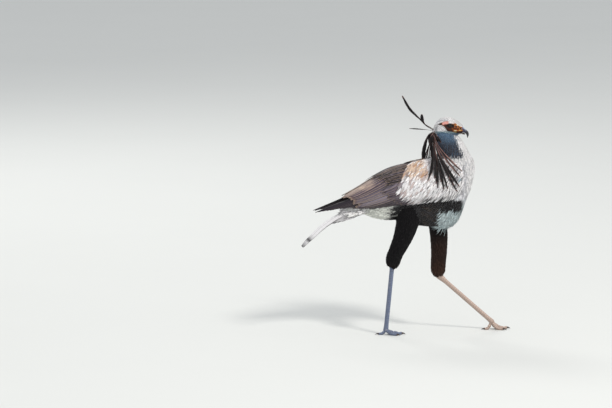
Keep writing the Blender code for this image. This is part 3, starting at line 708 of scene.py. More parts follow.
@dataclass(frozen=True)
class ScaleFinish:
    """The scaled skin of shanks and toes, between leather and horn."""

    name: str
    small_scales: float = 520.0
    relief: float = 0.00022

    def material(self) -> bpy.types.Material:
        """The finish as a material that reads the carried colour and the share of small scales.

        Returns:
            The material.
        """
        g = Graph(self.name)
        where = g.place()
        small, groove, pick = g.split(g.held("traits"))
        cell = g.stepped(g.cells(where, self.small_scales), 0.0, 0.28)
        fine = g.noise(where, 2200.0, 3.0)
        cloud = g.noise(where, 190.0, 4.0)
        lift = 1 - small * (1 - cell)
        tone = (0.72 + cloud * 0.5) * (0.62 + lift * 0.38) * (1 - groove * 0.75) * (0.86 + pick * 0.28)
        dust = g.stepped(cloud, 0.52, 0.78) * 0.35
        colour = g.mix(dust, g.held("plumage"), Tone.BUFF.light)
        return g.dress(
            Base_Color=g.scaled(colour, tone),
            Roughness=0.42 + fine * 0.25 + groove * 0.2,
            Normal=g.bump(lift * 0.8 + fine * 0.25, self.relief),
            Specular_IOR_Level=0.45,
        )


@dataclass(frozen=True)
class HornFinish:
    """Horn of the bill and claws: satin, with growth lines and faint scratches."""

    name: str
    lines: float = 700.0
    roughness: float = 0.3

    def material(self) -> bpy.types.Material:
        """The finish as a material that reads the carried colour.

        Returns:
            The material.
        """
        g = Graph(self.name)
        where = g.place()
        cloud = g.noise(where, 240.0, 4.0)
        fine = g.noise(where, self.lines * 3, 4.0)
        growth = g.maths("SINE", (g.noise(where, self.lines * 0.2, 2.0) * 60))
        tone = 0.74 + cloud * 0.5 + growth * 0.04
        return g.dress(
            Base_Color=g.scaled(g.held("plumage"), tone),
            Roughness=self.roughness + fine * 0.22 + cloud * 0.08,
            Normal=g.bump(growth * 0.25 + fine * 0.6, 0.00012),
            Coat_Weight=0.25,
            Coat_Roughness=0.2,
        )


@dataclass(frozen=True)
class EyeFinish:
    """A dark eye: pupil, fibrous iris and rim under a wet, clear front."""

    name: str
    pupil: float = 0.40
    iris: float = 0.78

    def material(self) -> bpy.types.Material:
        """The finish as a material that reads how far each point is from the eye's middle.

        Returns:
            The material.
        """
        g = Graph(self.name)
        far, around, _ = g.split(g.held("traits"))
        fibre = g.maths("SINE", around * 2 * math.pi * 70 + g.noise(g.place(), 900.0) * 9)
        dim, lit = Tone.IRIS.light, Tone.IRIS.light * 1.8
        ring = g.scaled(g.mix(g.stepped(far, self.pupil, self.iris), dim, lit), 0.9)
        ring = g.scaled(ring, 1 + fibre * 0.18)
        colour = g.mix(g.stepped(far, self.pupil - 0.02, self.pupil + 0.02), Tone.BLACK.light * 0.2, ring)
        colour = g.mix(g.stepped(far, self.iris, self.iris + 0.06), colour, Tone.LID.light * 0.5)
        return g.dress(
            Base_Color=colour,
            Roughness=0.10 + far * 0.05,
            Specular_IOR_Level=0.2,
            Coat_Weight=0.45,
            Coat_Roughness=0.02,
        )


@dataclass(frozen=True)
class FloorFinish:
    """A plain pale studio floor, matt with the faintest grain."""

    name: str = "floor"

    def material(self) -> bpy.types.Material:
        """The finish as a material.

        Returns:
            The material.
        """
        g = Graph(self.name)
        cloud = g.noise(g.place(), 1.3, 3.0)
        return g.dress(
            Base_Color=g.mix(cloud * 0.3, Tone.FLOOR.light, Tone.FLOOR.light * 0.93),
            Roughness=0.85 + cloud * 0.1,
            Specular_IOR_Level=0.15,
        )


class Region(Enum):
    """The parts of the body that short feathers grow on."""

    TRUNK = 0
    NECK = 1
    HEAD = 2
    THIGH_LEFT = 3
    THIGH_RIGHT = 4
    WING = 5
    RUMP = 6


# What a form's reach says of points beyond its ends
BEYOND = 9.0

HEAD_TURN = math.radians(-10.0)
HEAD_PIVOT = (0.170, 0.0, 0.0)


def head_turned(points: Array, back: bool = False) -> Array:
    """Points of the head turned with it towards the bird's right, or back to straight ahead.

    Args:
        points: places, three numbers on the last axis.
        back: true to undo the turn.

    Returns:
        The places after it.
    """
    turn = -HEAD_TURN if back else HEAD_TURN
    c, s = math.cos(turn), math.sin(turn)
    pivot = np.array(HEAD_PIVOT)
    return (points - pivot) @ np.array([[c, -s, 0], [s, c, 0], [0, 0, 1]]).T + pivot


@dataclass(frozen=True)
class UprightForm:
    """A form of upright sections across x, each a soft rectangle."""

    table: Table
    noses: tuple[float, float]
    power: float
    turned: bool = False

    def section(self, x: Array, grow: float) -> tuple[Array, Array, Array]:
        """Middle height, half height and half width of the sections at x, grown by grow.

        Args:
            x: places along the form.
            grow: how far the surface moves outwards.

        Returns:
            Middle, half height, half width.
        """
        top, bottom, half = curves(self.table, x)
        low, high = self.table[0][0] - grow, self.table[-1][0] + grow
        swell = rounding(x, low, high, self.noses)
        middle = (top + bottom) / 2
        return middle, (top - middle) * swell + grow, half * swell + grow

    def points(self, x: Array, angle: Array, grow: float) -> Array:
        """Points of the surface: cos and sin of the angle raised to 2 / power, times the halves.

        Args:
            x: places along the form.
            angle: angles round it, in radians.
            grow: how far the surface moves outwards.

        Returns:
            The points.
        """
        middle, up, half = self.section(x, grow)
        across = np.sign(np.cos(angle)) * np.abs(np.cos(angle)) ** (2 / self.power)
        rise = np.sign(np.sin(angle)) * np.abs(np.sin(angle)) ** (2 / self.power)
        made = stacked(x, half * across, middle + up * rise)
        return head_turned(made) if self.turned else made

    def closed(self, rows: int, columns: int, grow: float) -> MeshParts:
        """The whole form as a closed surface.

        Args:
            rows: sections.
            columns: points round each.
            grow: how far the surface moves outwards.

        Returns:
            The closed parts.
        """
        low, high = self.table[0][0] - grow, self.table[-1][0] + grow
        x = eased(low, high, rows + 2)[1:-1]
        angle = turns(columns)
        return tube(self.points(x[:, None], angle[None, :], grow))

    def reach(self, points: Array, grow: float) -> Array:
        """How far out points lie: 1 on the grown surface, less inside.

        Args:
            points: places, one to a row.
            grow: how far the surface moves outwards.

        Returns:
            The reach of each, or BEYOND past the ends.
        """
        if self.turned:
            points = head_turned(points, back=True)
        middle, up, half = self.section(points[:, 0], grow)
        inside = (points[:, 0] > self.table[0][0] - grow) & (points[:, 0] < self.table[-1][0] + grow)
        across = np.abs(points[:, 1]) / np.maximum(half, 1e-4)
        rise = np.abs(points[:, 2] - middle) / np.maximum(up, 1e-4)
        return np.where(inside, (across**self.power + rise**self.power) ** (1 / self.power), BEYOND)


@dataclass(frozen=True)
class LevelForm:
    """A form of level oval sections: height, middle x, middle y, half length, half width."""

    table: Table
    noses: tuple[float, float]

    def section(self, z: Array, grow: float) -> tuple[Array, ...]:
        """Middle x, middle y, half length and half width at heights z, grown by grow.

        Args:
            z: heights.
            grow: how far the surface moves outwards.

        Returns:
            The four measures at each height.
        """
        rows = sorted(self.table)
        middle_x, middle_y, length, width = curves(rows, z)
        swell = rounding(z, rows[0][0] - grow, rows[-1][0] + grow, self.noses)
        return middle_x, middle_y, length * swell + grow, width * swell + grow

    def closed(self, rows: int, columns: int, grow: float) -> MeshParts:
        """The whole form as a closed surface: the ellipse at each height.

        Args:
            rows: sections.
            columns: points round each.
            grow: how far the surface moves outwards.

        Returns:
            The closed parts.
        """
        table = sorted(self.table)
        z = eased(table[0][0] - grow, table[-1][0] + grow, rows + 2)[1:-1, None]
        angle = turns(columns)
        middle_x, middle_y, length, width = self.section(z, grow)
        x, y = middle_x + length * np.cos(angle), middle_y + width * np.sin(angle)
        return tube(stacked(x, y, z))

    def reach(self, points: Array, grow: float) -> Array:
        """How far out points lie: 1 on the grown surface, less inside.

        Args:
            points: places, one to a row.
            grow: how far the surface moves outwards.

        Returns:
            The reach of each, or BEYOND past the ends.
        """
        rows = sorted(self.table)
        middle_x, middle_y, length, width = self.section(points[:, 2], grow)
        inside = (points[:, 2] > rows[0][0] - grow) & (points[:, 2] < rows[-1][0] + grow)
        far = np.hypot(
            (points[:, 0] - middle_x) / np.maximum(length, 1e-4),
            (points[:, 1] - middle_y) / np.maximum(width, 1e-4),
        )
        return np.where(inside, far, BEYOND)


# Body, as upright sections from the rump to the breast: x, top, bottom, half width
TRUNK = UprightForm(
    (
        (-0.220, 0.580, 0.548, 0.016),
        (-0.160, 0.632, 0.512, 0.040),
        (-0.100, 0.672, 0.496, 0.060),
        (-0.040, 0.700, 0.494, 0.074),
        (0.030, 0.716, 0.474, 0.082),
        (0.100, 0.736, 0.462, 0.085),
        (0.170, 0.756, 0.458, 0.082),
        (0.200, 0.767, 0.466, 0.0795),
        (0.225, 0.776, 0.498, 0.0770),
        (0.250, 0.788, 0.556, 0.074),
        (0.304, 0.800, 0.630, 0.062),
    ),
    (0.030, 0.062),
    2.15,
)

# Neck, as level sections: z, middle x, middle y, half length, half width
NECK = LevelForm(
    (
        (0.700, 0.208, 0.0, 0.078, 0.066),
        (0.740, 0.212, 0.0, 0.080, 0.066),
        (0.770, 0.207, 0.0, 0.074, 0.058),
        (0.800, 0.199, 0.0, 0.067, 0.050),
        (0.835, 0.184, 0.0, 0.060, 0.043),
        (0.862, 0.170, 0.0, 0.048, 0.037),
        (0.886, 0.165, 0.0, 0.036, 0.030),
    ),
    (0.020, 0.012),
)

# Head, as upright sections from the nape to the bill's root
HEAD = UprightForm(
    (
        (0.119, 0.908, 0.852, 0.0260),
        (0.135, 0.921, 0.848, 0.0310),
        (0.152, 0.932, 0.848, 0.0335),
        (0.172, 0.9375, 0.850, 0.0345),
        (0.192, 0.9355, 0.853, 0.0335),
        (0.212, 0.927, 0.856, 0.0290),
        (0.230, 0.9155, 0.859, 0.0225),
        (0.250, 0.897, 0.861, 0.0150),
    ),
    (0.022, 0.004),
    2.1,
    True,
)

# Feathered thighs, as level sections: z, middle x, middle y, half length, half width
REAR_THIGH = LevelForm(
    (
        (0.580, 0.020, -0.043, 0.052, 0.036),
        (0.530, 0.008, -0.049, 0.054, 0.040),
        (0.480, -0.006, -0.052, 0.051, 0.040),
        (0.430, -0.022, -0.053, 0.046, 0.036),
        (0.380, -0.044, -0.051, 0.041, 0.032),
        (0.340, -0.062, -0.048, 0.036, 0.028),
        (0.314, -0.066, -0.047, 0.031, 0.025),
        (0.294, -0.058, -0.046, 0.020, 0.018),
    ),
    (0.020, 0.020),
)
FRONT_THIGH = LevelForm(
    (
        (0.580, 0.130, 0.043, 0.050, 0.036),
        (0.530, 0.138, 0.049, 0.048, 0.040),
        (0.470, 0.150, 0.052, 0.043, 0.038),
        (0.400, 0.156, 0.053, 0.039, 0.034),
        (0.340, 0.156, 0.052, 0.036, 0.031),
        (0.290, 0.153, 0.050, 0.034, 0.028),
        (0.255, 0.152, 0.048, 0.031, 0.026),
        (0.236, 0.154, 0.047, 0.023, 0.020),
    ),
    (0.020, 0.020),
)

# The mantle that a folded wing lies on: x, top, middle, bottom, half width
MANTLE = (
    (-0.430, 0.548, 0.534, 0.512, 0.024),
    (-0.350, 0.572, 0.556, 0.530, 0.034),
    (-0.290, 0.594, 0.574, 0.540, 0.045),
    (-0.220, 0.630, 0.594, 0.543, 0.062),
    (-0.150, 0.673, 0.611, 0.545, 0.080),
    (-0.080, 0.710, 0.627, 0.548, 0.093),
    (0.000, 0.733, 0.642, 0.552, 0.102),
    (0.080, 0.749, 0.652, 0.556, 0.106),
    (0.150, 0.757, 0.660, 0.560, 0.105),
    (0.200, 0.760, 0.664, 0.570, 0.099),
    (0.245, 0.758, 0.668, 0.594, 0.088),
)


def mantle(x: Array, angle: Array, lift: Array) -> Array:
    """Points over the bird's left side that the folded wing lies on, raised by lift.

    Across x the surface is two quarter ellipses with their own heights above and below a middle,
    and the angle goes round them, 0 at the side and a right angle at the top.

    Args:
        x: places along the bird.
        angle: angles round the section, in radians.
        lift: height above the surface.

    Returns:
        The points.
    """
    x, angle, lift = np.broadcast_arrays(x, angle, lift)
    top, middle, bottom, half = curves(MANTLE, x)
    reach = np.where(angle > 0, top - middle, middle - bottom)
    out = unit(stacked(np.cos(angle) / half, np.sin(angle) / reach))
    y = half * np.cos(angle) + lift * out[..., 0]
    z = middle + reach * np.sin(angle) + lift * out[..., 1]
    return stacked(x, y, z)


def beside_mantle(x: Array, z: Array) -> tuple[Array, Array, Array]:
    """The mantle's middle height at x, its reach from there towards z, and its half width."""
    top, middle, bottom, half = curves(MANTLE, x)
    return middle, np.where(z > middle, top - middle, middle - bottom), half


@dataclass(frozen=True)
class WingCore:
    """The flesh of a folded wing, under its feathers."""

    end_x: float = -0.215
    bend_x: float = 0.238
    round_off: float = 0.045
    bend_sink: float = 0.014
    # Place along it, lower and upper edge in degrees round the mantle, and thickness
    table: Table = (
        (0.00, -20.0, 40.0, 0.0088),
        (0.22, -49.0, 68.0, 0.0160),
        (0.50, -58.0, 77.0, 0.0260),
        (0.82, -51.0, 73.0, 0.0255),
        (1.00, -20.0, 26.0, 0.0090),
    )

    def closed(self, depth: float) -> MeshParts:
        """The core as a tube: its outer side is the mantle, sunk by depth and at the bend.

        Args:
            depth: how far it lies under the mantle.

        Returns:
            The closed parts.
        """
        x = np.linspace(self.end_x, self.bend_x, 60)
        along = (x - self.end_x) / (self.bend_x - self.end_x)
        places, lower, upper, depths = np.array(self.table).T
        low = np.interp(along, places, np.radians(lower))
        high = np.interp(along, places, np.radians(upper))
        near_bend = np.clip((x - self.bend_x + self.round_off) / self.round_off, 0, 1)
        sink = self.bend_sink * (1 - np.sqrt(1 - near_bend**2)) + depth
        thick = np.interp(along, places, depths)
        part = np.linspace(0, 1, 30)
        angle = low[:, None] + (high - low)[:, None] * part
        outer = mantle(x[:, None], angle, -sink[:, None])
        thin = np.sin(np.pi * np.clip(part, 0.06, 0.94)) ** 0.6
        inner = mantle(x[:, None], angle, -sink[:, None] - thick[:, None] * thin)
        return tube(np.concatenate([outer, inner[:, ::-1]], axis=1))


@dataclass(frozen=True)
class TailArch:
    """The curved ridge of the tail, and the slope of the tent of feathers that hangs on it."""

    # Distance back from the root, x and z
    ridge: Table = (
        (0.000, -0.1200, 0.5940),
        (0.050, -0.1675, 0.5785),
        (0.100, -0.2146, 0.5620),
        (0.150, -0.2621, 0.5445),
        (0.200, -0.3078, 0.5240),
        (0.250, -0.3508, 0.4985),
        (0.300, -0.3900, 0.4675),
        (0.350, -0.4260, 0.4328),
        (0.405, -0.4640, 0.3930),
    )
    step: float = 0.002
    slope: float = math.radians(42.0)
    # Distance back, half width and half depth of the flesh
    core: Table = (
        (0.000, 0.026, 0.0200),
        (0.030, 0.034, 0.0245),
        (0.070, 0.038, 0.0250),
        (0.110, 0.036, 0.0200),
        (0.145, 0.028, 0.0110),
        (0.170, 0.018, 0.0040),
    )

    def up(self, along: Array) -> Array:
        """The direction out of the tail's upper side at places along it."""
        back = unit(spline(self.ridge, along + self.step) - spline(self.ridge, along - self.step))
        return stacked(back[..., 1], 0.0, -back[..., 0])

    def points(self, along: Array, side: Array, height: Array) -> Array:
        """Points from their distance back, to the side, and above the tent's falling slope.

        Args:
            along: distances back from the root.
            side: distances to the left.
            height: heights over the slope.

        Returns:
            The points.
        """
        along, side, height = np.broadcast_arrays(along, side, height)
        x, z = curves(self.ridge, along)
        over = height - np.abs(side) * math.tan(self.slope)
        return stacked(x, side, z) + over[..., None] * self.up(along)

    def closed(self, grow: float) -> MeshParts:
        """The flesh of the tail as a tube of ovals along the ridge.

        Args:
            grow: how far the surface moves outwards.

        Returns:
            The closed parts.
        """
        along = np.linspace(self.core[0][0], self.core[-1][0], 26)[:, None]
        half, thick = curves(self.core, along)
        angle = turns(40)
        wide, high = np.maximum(half + grow, 0.002), np.maximum(thick + grow, 0.002)
        return tube(self.points(along, wide * np.cos(angle), high * np.sin(angle)))


TAIL = TailArch()
WING_CORE = WingCore()

FORMS: dict[Region, Union[UprightForm, LevelForm]] = {
    Region.TRUNK: TRUNK,
    Region.NECK: NECK,
    Region.HEAD: HEAD,
    Region.THIGH_LEFT: FRONT_THIGH,
    Region.THIGH_RIGHT: REAR_THIGH,
}
COAT_DEPTH: dict[Region, float] = {
    Region.TRUNK: 0.0040,
    Region.NECK: 0.0035,
    Region.HEAD: 0.0016,
    Region.THIGH_LEFT: 0.0028,
    Region.THIGH_RIGHT: 0.0028,
    Region.WING: 0.0045,
    Region.RUMP: 0.0035,
}
# Height of each thigh's hem
HEMS: dict[Region, float] = {Region.THIGH_LEFT: 0.243, Region.THIGH_RIGHT: 0.30}

# Where the rump's feathers begin, how wide they lie, and where the breast's end cap begins
RUMP_X = -0.185
RUMP_HALF = 0.041
BREAST_X = 0.288

# Middle of the left eyeball, before the head is turned
EYE = (0.188, 0.0216, 0.9028)

# Edge of the bare skin of the face: x, the height above and the height below
FACE_EDGE = (
    (0.140, 0.9085, 0.9068),
    (0.150, 0.9142, 0.9052),
    (0.160, 0.9182, 0.9015),
    (0.169, 0.9205, 0.8920),
    (0.176, 0.9215, 0.8800),
    (0.190, 0.9212, 0.8765),
    (0.205, 0.9175, 0.8730),
    (0.214, 0.9115, 0.8690),
    (0.224, 0.9035, 0.8665),
    (0.236, 0.8975, 0.8650),
    (0.250, 0.8900, 0.8640),
)


def regions_of(points: Array) -> Array:
    """The region that each point of the skin belongs to, by the form whose surface is nearest.

    Args:
        points: places, one to a row.

    Returns:
        The value of each point's region.
    """
    far = np.full((len(Region), len(points)), BEYOND)
    for region, form in FORMS.items():
        far[region.value] = np.abs(form.reach(points, -COAT_DEPTH[region]) - 1)
    middle, room, half = beside_mantle(points[:, 0], points[:, 2])
    wing = np.hypot(points[:, 1] / half, (points[:, 2] - middle) / room)
    low, high = WING_CORE.end_x, WING_CORE.bend_x
    covered = (points[:, 0] > low) & (points[:, 0] < high) & (wing > 0.86)
    deep = (points[:, 0] > low + 0.06) & (points[:, 0] < high - 0.05)
    far[Region.WING.value] = np.where((covered | deep) & (wing < 1.02), 0.0, BEYOND)
    rump = (points[:, 0] < RUMP_X) & (np.abs(points[:, 1]) < RUMP_HALF)
    far[Region.RUMP.value] = np.where(rump, 0.02, BEYOND)
    return np.argmin(far, axis=0)


def outside(points: Array, step: float = 0.001) -> Array:
    """About how far points lie outside the flesh: the least of (reach - 1) / slope over its forms.

    Args:
        points: places, one to a row.
        step: half the distance that the slope is taken over.

    Returns:
        The distances, in metres.
    """
    least = np.full(len(points), 0.05)
    for region, form in FORMS.items():
        reach = form.reach(points, -COAT_DEPTH[region])
        sides = np.stack([
            [form.reach(points + way * step * axis, -COAT_DEPTH[region]) for way in (1, -1)]
            for axis in np.eye(3)
        ])
        slope = np.linalg.norm(sides[:, 0] - sides[:, 1], axis=0) / (2 * step)
        sound = (reach < 3) & (sides.max(axis=(0, 1)) < 8)
        least = np.where(sound, np.minimum(least, (reach - 1) / np.maximum(slope, 4.0)), least)
    return least


def face_mask(points: Array) -> Array:
    """1 on the bare skin of the face, 0 under feathers, for points of the unturned head.

    The skin's edge is a height above and one below for each x: it starts as a point behind the
    eye, opens round it, and ends at the bill and the corner of the mouth.

    Args:
        points: places of the unturned head.

    Returns:
        The share of bare skin at each.
    """
    x, z = points[..., 0], points[..., 2]
    upper, lower = curves(FACE_EDGE, x)
    inside = np.minimum(upper - z, z - lower)
    return smooth(inside, -0.0012, 0.0012) * smooth(x, 0.138, 0.144)


class MarkingsAndPaintedShade:
    """The colours of the plumage, with painted shadow on the neck and throat, as formulas of place, shared by
    the skin and the coat.
    """

    @staticmethod
    def head(p: Array) -> Array:
        """White crown, pale ear patch with a dark line behind it, and a teal throat that is painted shadow
        under the jaw.

        Args:
            p: places, one to a row.

        Returns:
            Their colours.
        """
        x, _, z = head_turned(p, back=True).T
        paint = Paint(Tone.WHITE, x.shape)
        line = bell(z - 0.9255 + (x - 0.165) ** 2 * 9, 0.0030) * smooth(x, 0.128, 0.150)
        paint.lay(Tone.GREY, line * smooth(x, 0.200, 0.182) * 0.8)
        ear = smooth(z, 0.906, 0.896) * smooth(z, 0.874, 0.882) * smooth(x, 0.172, 0.164)
        paint.lay(Tone.PALE, ear * 0.5)
        rear = bell(x - 0.1355 - (z - 0.89) ** 2 * 14, 0.0026)
        rear = rear * smooth(z, 0.872, 0.880) * smooth(z, 0.906, 0.896)
        paint.lay(Tone.NECK_SHADE, rear * 0.85)
        # Painted shadow under the jaw, blue below and teal at the top.
        throat_shadow = smooth(z, 0.8805, 0.8755) * smooth(x, 0.238, 0.222) * smooth(x, 0.128, 0.140)
        painted_shade = blend(Tone.NECK_PAINTED_SHADOW_BLUE.light, Tone.TEAL.light, smooth(z, 0.864, 0.872))
        paint.lay(painted_shade, throat_shadow * 0.95)
        jaw = bell(z - 0.8735 + (x - 0.185) * 0.10, 0.0016) * smooth(x, 0.168, 0.176)
        paint.lay(Tone.TEAL_PALE, jaw * smooth(x, 0.222, 0.206) * 0.7)
        brow = bell(z - 0.9085, 0.0030) * smooth(x, 0.132, 0.139) * smooth(x, 0.162, 0.150)
        return paint.lay(Tone.LID, brow * 0.95).light

    @staticmethod
    def neck(p: Array) -> Array:
        """White in front, with painted shadow of head and crest down each side: a dark blue-black patch that
        is bluer at the top.

        Args:
            p: places, one to a row.

        Returns:
            Their colours.
        """
        x, _, z = p.T
        paint = Paint(Tone.WHITE, x.shape)
        # Painted shadow: head and crest shade both sides of the neck, dark below and bluer with strokes at
        # the top.
        front = 0.234 - 0.45 * np.clip(z - 0.80, -0.04, 0.06)
        ragged = 0.004 * np.sin(z * 700) + 0.003 * np.sin(x * 900)
        patch = smooth(z + ragged, 0.766, 0.782) * smooth(x - front + ragged, 0.004, -0.008)
        painted_shade = blend(Tone.NECK_SHADE.light, Tone.NECK_PAINTED_SHADOW_BLUE.light, smooth(z, 0.822, 0.866) * 0.95)
        stroke = smooth(np.sin(x * 560 + z * 140) * np.sin(z * 210 + 2), 0.1, 0.8)
        painted_shade = blend(painted_shade, Tone.NECK_PAINTED_SHADOW_BLUE.light, stroke * 0.5)
        paint.lay(painted_shade, patch * 0.97)
        streak = smooth(np.sin(x * 520 + z * 190), 0.3, 0.9) * smooth(z, 0.79, 0.75)
        return paint.lay(Tone.GREY, streak * 0.45).light

    @staticmethod
    def trunk(p: Array) -> Array:
        """Pale grey breast, hanging bluish fluff, dark belly and pale greenish vent.

        Args:
            p: places, one to a row.

        Returns:
            Their colours.
        """
        x, y, z = p.T
        paint = Paint(Tone.PALE, x.shape)
        paint.lay(Tone.WHITE, smooth(x, 0.235, 0.270) * smooth(z, 0.58, 0.66))
        streak = smooth(np.sin(x * 480 + z * 230 + y * 300), 0.5, 0.95) * smooth(z, 0.56, 0.62)
        paint.lay(Tone.GREY, streak * 0.4)
        torn = 0.012 * np.sin(z * 330 + y * 90) + 0.008 * np.sin(z * 870 + 1.0)
        fluff = smooth(z + torn * 0.6, 0.61, 0.56) * smooth(x + torn, 0.128, 0.150)
        paint.lay(Tone.TEAL_PALE, fluff * 0.9)
        streak = smooth(np.sin(z * 210 + x * 640 + y * 260), 0.2, 0.95) * fluff
        paint.lay(Tone.TEAL, streak * 0.4)
        side = smooth(z, 0.604, 0.594) * smooth(z, 0.548, 0.560) * smooth(x, 0.248, 0.232)
        paint.lay(Tone.BLACK, side * smooth(np.abs(y), 0.030, 0.050) * smooth(x, -0.06, 0.0))
        belly = smooth(z, 0.60, 0.56) * smooth(x + torn, 0.158, 0.140) * smooth(x + torn, -0.085, -0.050)
        mottle = smooth(np.sin(x * 190 + y * 120) * np.sin(z * 240 - x * 70), -0.3, 0.6)
        mottle = mottle * smooth(np.abs(x - 0.005), 0.045, 0.080)
        paint.lay(blend(Tone.BLACK.light * 0.8, Tone.OLIVE.light, mottle), belly * 0.99)
        vent = smooth(x + torn, -0.045, -0.080) * smooth(z, 0.59, 0.56)
        return paint.lay(Tone.VENT, vent).light

    @staticmethod
    def thigh(p: Array) -> Array:
        """Black, a little browner towards the hem.

        Args:
            p: places, one to a row.

        Returns:
            Their colours.
        """
        front = smooth(p[:, 1], -0.01, 0.01)
        brown = smooth(p[:, 2], 0.34, 0.26) * 0.4 + front * smooth(p[:, 2], 0.48, 0.36) * 0.5
        return blend(Tone.BLACK.light, Tone.BROWN.light * 0.42, brown)

    @staticmethod
    def body(points: Array, regions: Array) -> Array:
        """The colour of each point, by its region.

        Args:
            points: places, one to a row.
            regions: the value of each one's region.

        Returns:
            Their colours.
        """
        colours = blend(Tone.PALE.light, Tone.PURPLE.light, smooth(points[:, 0], 0.05, 0.0))
        rules = (MarkingsAndPaintedShade.trunk, MarkingsAndPaintedShade.neck, MarkingsAndPaintedShade.head, MarkingsAndPaintedShade.thigh, MarkingsAndPaintedShade.thigh)
        for region, rule in zip(FORMS, rules):
            here = regions == region.value
            colours[here] = rule(points[here])
        colours[regions == Region.RUMP.value] = Tone.WHITE.light
        return colours


@dataclass
class Skin:
    """One closed skin over trunk, neck, head, wings, thighs and tail, inside the coat."""

    voxel: float = 0.0032
    smoothing: int = 6
    # Painted shade: how dark the skin between the feathers is made, for the shade among them
    painted_shade: float = 0.62
    # Depth of the bare skin below the coat, and of the eye's socket below that
    bare_depth: float = 0.0030
    socket_depth: float = 0.0065
    socket_size: tuple[float, float] = (0.0150, 0.0110)
    solids: tuple[str, ...] = ("trunk", "neck", "head", "thigh_left", "thigh_right")

    def parts(self) -> list[MeshParts]:
        """Every form of flesh, sunk by the depth of its coat.

        Returns:
            The forms, which still cut through each other.
        """
        wing = WING_CORE.closed(COAT_DEPTH[Region.WING])
        return [
            TRUNK.closed(80, 90, -COAT_DEPTH[Region.TRUNK]),
            NECK.closed(50, 70, -COAT_DEPTH[Region.NECK]),
            HEAD.closed(60, 70, -COAT_DEPTH[Region.HEAD]),
            FRONT_THIGH.closed(60, 50, -COAT_DEPTH[Region.THIGH_LEFT]),
            REAR_THIGH.closed(60, 50, -COAT_DEPTH[Region.THIGH_RIGHT]),
            wing,
            wing.mirrored(),
            TAIL.closed(-COAT_DEPTH[Region.RUMP]),
        ]

    def build(self) -> bpy.types.Mesh:
        """The forms fused by a voxel remesh and smoothed where they meet.

        Returns:
            The mesh of the skin.
        """
        holder = linked("skin_forms", make_mesh("skin_forms", gathered(self.parts())))
        fuse = holder.modifiers.new("fuse", "REMESH")
        fuse.mode = "VOXEL"
        fuse.voxel_size = self.voxel
        ease = holder.modifiers.new("ease", "SMOOTH")
        ease.factor = 0.5
        ease.iterations = self.smoothing
        bpy.context.view_layer.update()
        graph = bpy.context.evaluated_depsgraph_get()
        mesh = bpy.data.meshes.new_from_object(holder.evaluated_get(graph))
        bpy.data.objects.remove(holder)
        points, normals = read_points(mesh), read_points(mesh, normals=True)
        plain = head_turned(points, back=True)
        bare = face_mask(plain) * (regions_of(points) == Region.HEAD.value)
        long, high = self.socket_size
        near = np.hypot((plain[:, 0] - EYE[0]) / long, (plain[:, 2] - EYE[2]) / high)
        depth = self.bare_depth + self.socket_depth * bell(near, 1.0, 4)
        points -= normals * (bare * depth)[:, None]
        mesh.vertices.foreach_set("co", points.astype(np.float32).ravel())
        mesh.update()
        mesh.shade_smooth()
        return mesh

    def dress(self, mesh: bpy.types.Mesh) -> bpy.types.Object:
        """Gives the skin its markings, darkened as painted shade between the feathers, and puts it into the
        scene.

        Args:
            mesh: the mesh of the skin.

        Returns:
            The piece.
        """
        points = read_points(mesh)
        # Painted shade: the markings darkened where the skin shows between feathers.
        carry(mesh, "plumage", MarkingsAndPaintedShade.body(points, regions_of(points)) * self.painted_shade)
        finish = SkinFinish("under_skin", 380.0, 0.0004, 0.75).material()
        return publish("skin", mesh, finish, self.solids)


def read_points(mesh: bpy.types.Mesh, normals: bool = False) -> Array:
    """The places or the normals of a mesh's points.

    Args:
        mesh: the mesh.
        normals: true for the normals.

    Returns:
        One row for each point.
    """
    values = np.empty(len(mesh.vertices) * 3, np.float32)
    if normals:
        mesh.vertex_normals.foreach_get("vector", values)
    else:
        mesh.vertices.foreach_get("co", values)
    return values.reshape(-1, 3).astype(float)


@dataclass(frozen=True)
class Blade:
    """One kind of feather: its outline from root to tip, and the section across it."""

    outline: tuple[float, ...]
    rows: int
    columns: int
    arch: float = 0.18
    thickness: float = 0.0004
    shaft: float = 0.0

    def half_widths(self) -> Array:
        """The half width at each row, as a share of the widest."""
        knots = np.linspace(0, 1, len(self.outline))
        return np.interp(self.along(), knots, self.outline)

    def along(self) -> Array:
        """The rows' places from root to tip, closer towards the tip."""
        t = np.linspace(0, 1, self.rows)
        return t * (1.25 - 0.25 * t)

    def across(self) -> Array:
        """The columns' places from edge to edge, -1 to 1."""
        return np.linspace(-1, 1, self.columns)


